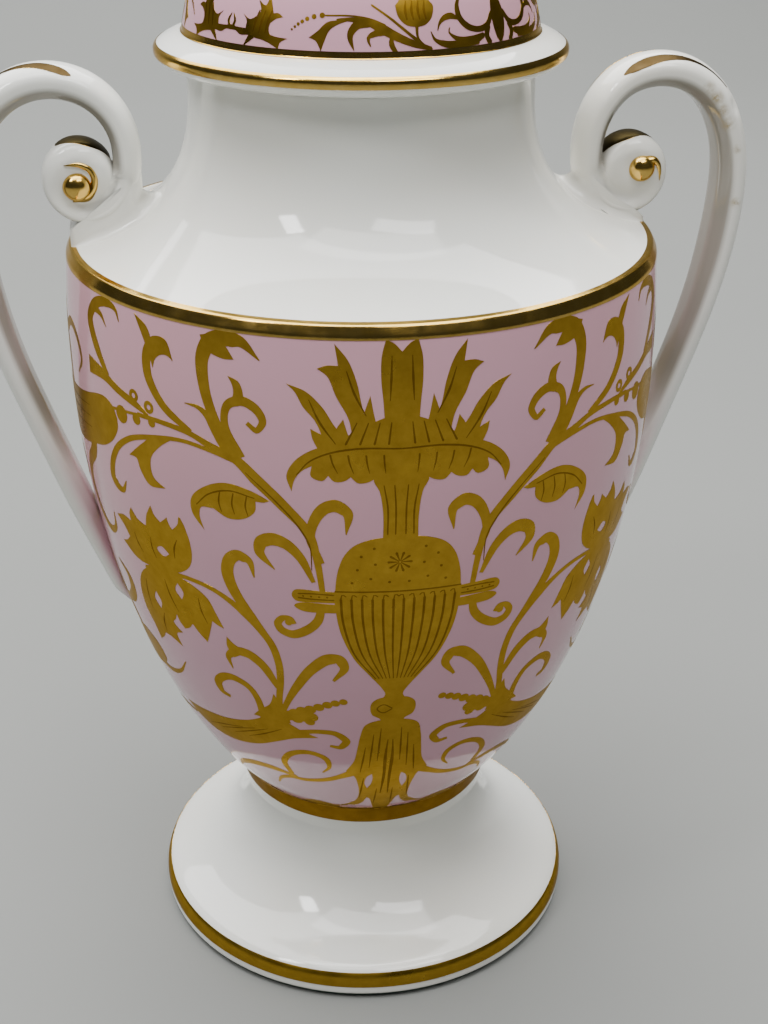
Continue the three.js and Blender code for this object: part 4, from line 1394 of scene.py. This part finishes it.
def make_lid(white, pink, gilt, polished):
    cover = Shape()
    turned(cover, lid_outline(), LID_ROUNDING)
    cover.piece("lid_porcelain", [white], "lid")
    ground = Shape()
    add_ring(ground, lid_outline(), (50.9, 299.2), (16.4, 342.4), SKIN, 0, 2.2, LID_ROUNDING, TURNS)
    ground.piece("lid_pink_ground", [pink])
    pattern = Shape()
    lay_drawing(pattern, LID_DRAWS, DOME_SIDE, LID_TURN)
    pattern.piece("lid_arabesque", gilt)
    bands = Shape()
    for *band, step in LID_BANDS:
        add_ring(bands, lid_outline(), *band, 0, step, LID_ROUNDING, TURNS)
    bands.piece("lid_gilt_bands", [polished])


def make_felt():
    shape = Shape()
    edge, thick = FELT_HIGH.x, FELT_HIGH.z
    turned(shape, chain((0, 0), (edge, 0), (edge, thick), (0, thick)), 0.4, longest=8)
    shape.piece("felt_underlay", [felt_cloth()], "felt_pad")


# ---- stage ----


def make_stage():
    """A plain floor that curves up into a backdrop."""
    half, depth = 3.0, 2.2
    profile = chain((-half, 0), bezier((1.2, 0), (1.9, 0), (depth, 0.3), (depth, 1), 16), (depth, 2.6))
    points = np.array([(x, y, z) for y, z in profile for x in (-half, half)])
    mesh = bpy.data.meshes.new("floor")
    mesh.from_pydata(points.tolist(), [], grid_faces(len(profile), 2, wrap=False))
    mesh.polygons.foreach_set("use_smooth", [True] * len(mesh.polygons))
    paint = Paint("floor_paper")
    colour = paint.mixed(paint.noise(3), (0.19, 0.195, 0.185), (0.205, 0.21, 0.20))
    mesh.materials.append(paint.finished(colour, 0.75))
    placed("floor", mesh)


def area_light(name, place, target, size, power):
    data = bpy.data.lights.new(name, "AREA")
    data.shape = "RECTANGLE"
    data.size, data.size_y = size
    data.energy = power
    lamp = placed(name, data)
    lamp.location = place
    lamp.rotation_euler = (Vector(target) - Vector(place)).to_track_quat("-Z", "Y").to_euler()


def make_lights():
    middle = (0, 0, 0.17)
    area_light("window_left", (-1.02, -0.62, 1.5), middle, (0.26, 0.44), 10)
    area_light("window_right", (0.42, -1.05, 1.62), middle, (0.9, 0.34), 9)
    area_light("ceiling", (-0.15, 0.8, 2.2), middle, (3.2, 3.2), 195)
    area_light("front_top", (0.05, -0.75, 2.3), (0, -0.05, 0.02), (2.0, 1.0), 30)
    world = bpy.data.worlds.new("studio")
    world.use_nodes = True
    background = world.node_tree.nodes["Background"].inputs
    background["Color"].default_value = (0.55, 0.6, 0.6, 1)
    background["Strength"].default_value = 0.10
    bpy.context.scene.world = world


CAMERA_PLACE = (-0.0700, -0.4531, 0.3728)
CAMERA_HEADING = math.radians(9.65)  # from +Y towards +X
CAMERA_PITCH = math.radians(26.54)  # below the horizon
CAMERA_ROLL = math.radians(0.2)
CAMERA_LENS = 54.74  # on a 36 mm sensor along the picture's long side


def make_camera():
    data = bpy.data.cameras.new("camera")
    data.lens = CAMERA_LENS
    data.sensor_width = 36
    data.clip_start = 0.01
    camera = placed("camera", data)
    ahead = Vector((math.sin(CAMERA_HEADING), math.cos(CAMERA_HEADING), 0))
    look = ahead * math.cos(CAMERA_PITCH) - Vector((0, 0, math.sin(CAMERA_PITCH)))
    right = Vector((ahead.y, -ahead.x, 0))
    turn = Matrix((right, right.cross(look), -look)).transposed() @ Matrix.Rotation(CAMERA_ROLL, 3, "Z")
    camera.matrix_world = Matrix.Translation(CAMERA_PLACE) @ turn.to_4x4()
    bpy.context.scene.camera = camera


def main():
    make_camera()
    make_lights()
    make_stage()
    white = glaze("white_glaze", (0.80, 0.81, 0.77), (0.78, 0.76, 0.69), shade_and_marks=True)
    pink = glaze("pink_ground", (0.60, 0.33, 0.41), (0.62, 0.33, 0.38))
    gilt = [
        gold("gilding", (0.42, 0.255, 0.028), (0.33, 0.19, 0.016), 0.26, 0.40),
        # The darker gilding serves the chased lines, and the waist band as painted shade.
        gold("chased_gilding_and_painted_shade", (0.22, 0.12, 0.012), (0.16, 0.08, 0.006), 0.34, 0.5),
    ]
    polished = gold("polished_gilding", (0.66, 0.44, 0.12), (0.56, 0.35, 0.07), 0.12, 0.24)
    make_urn(white, pink, gilt, polished)
    make_lid(white, pink, gilt, polished)
    make_felt()


main()
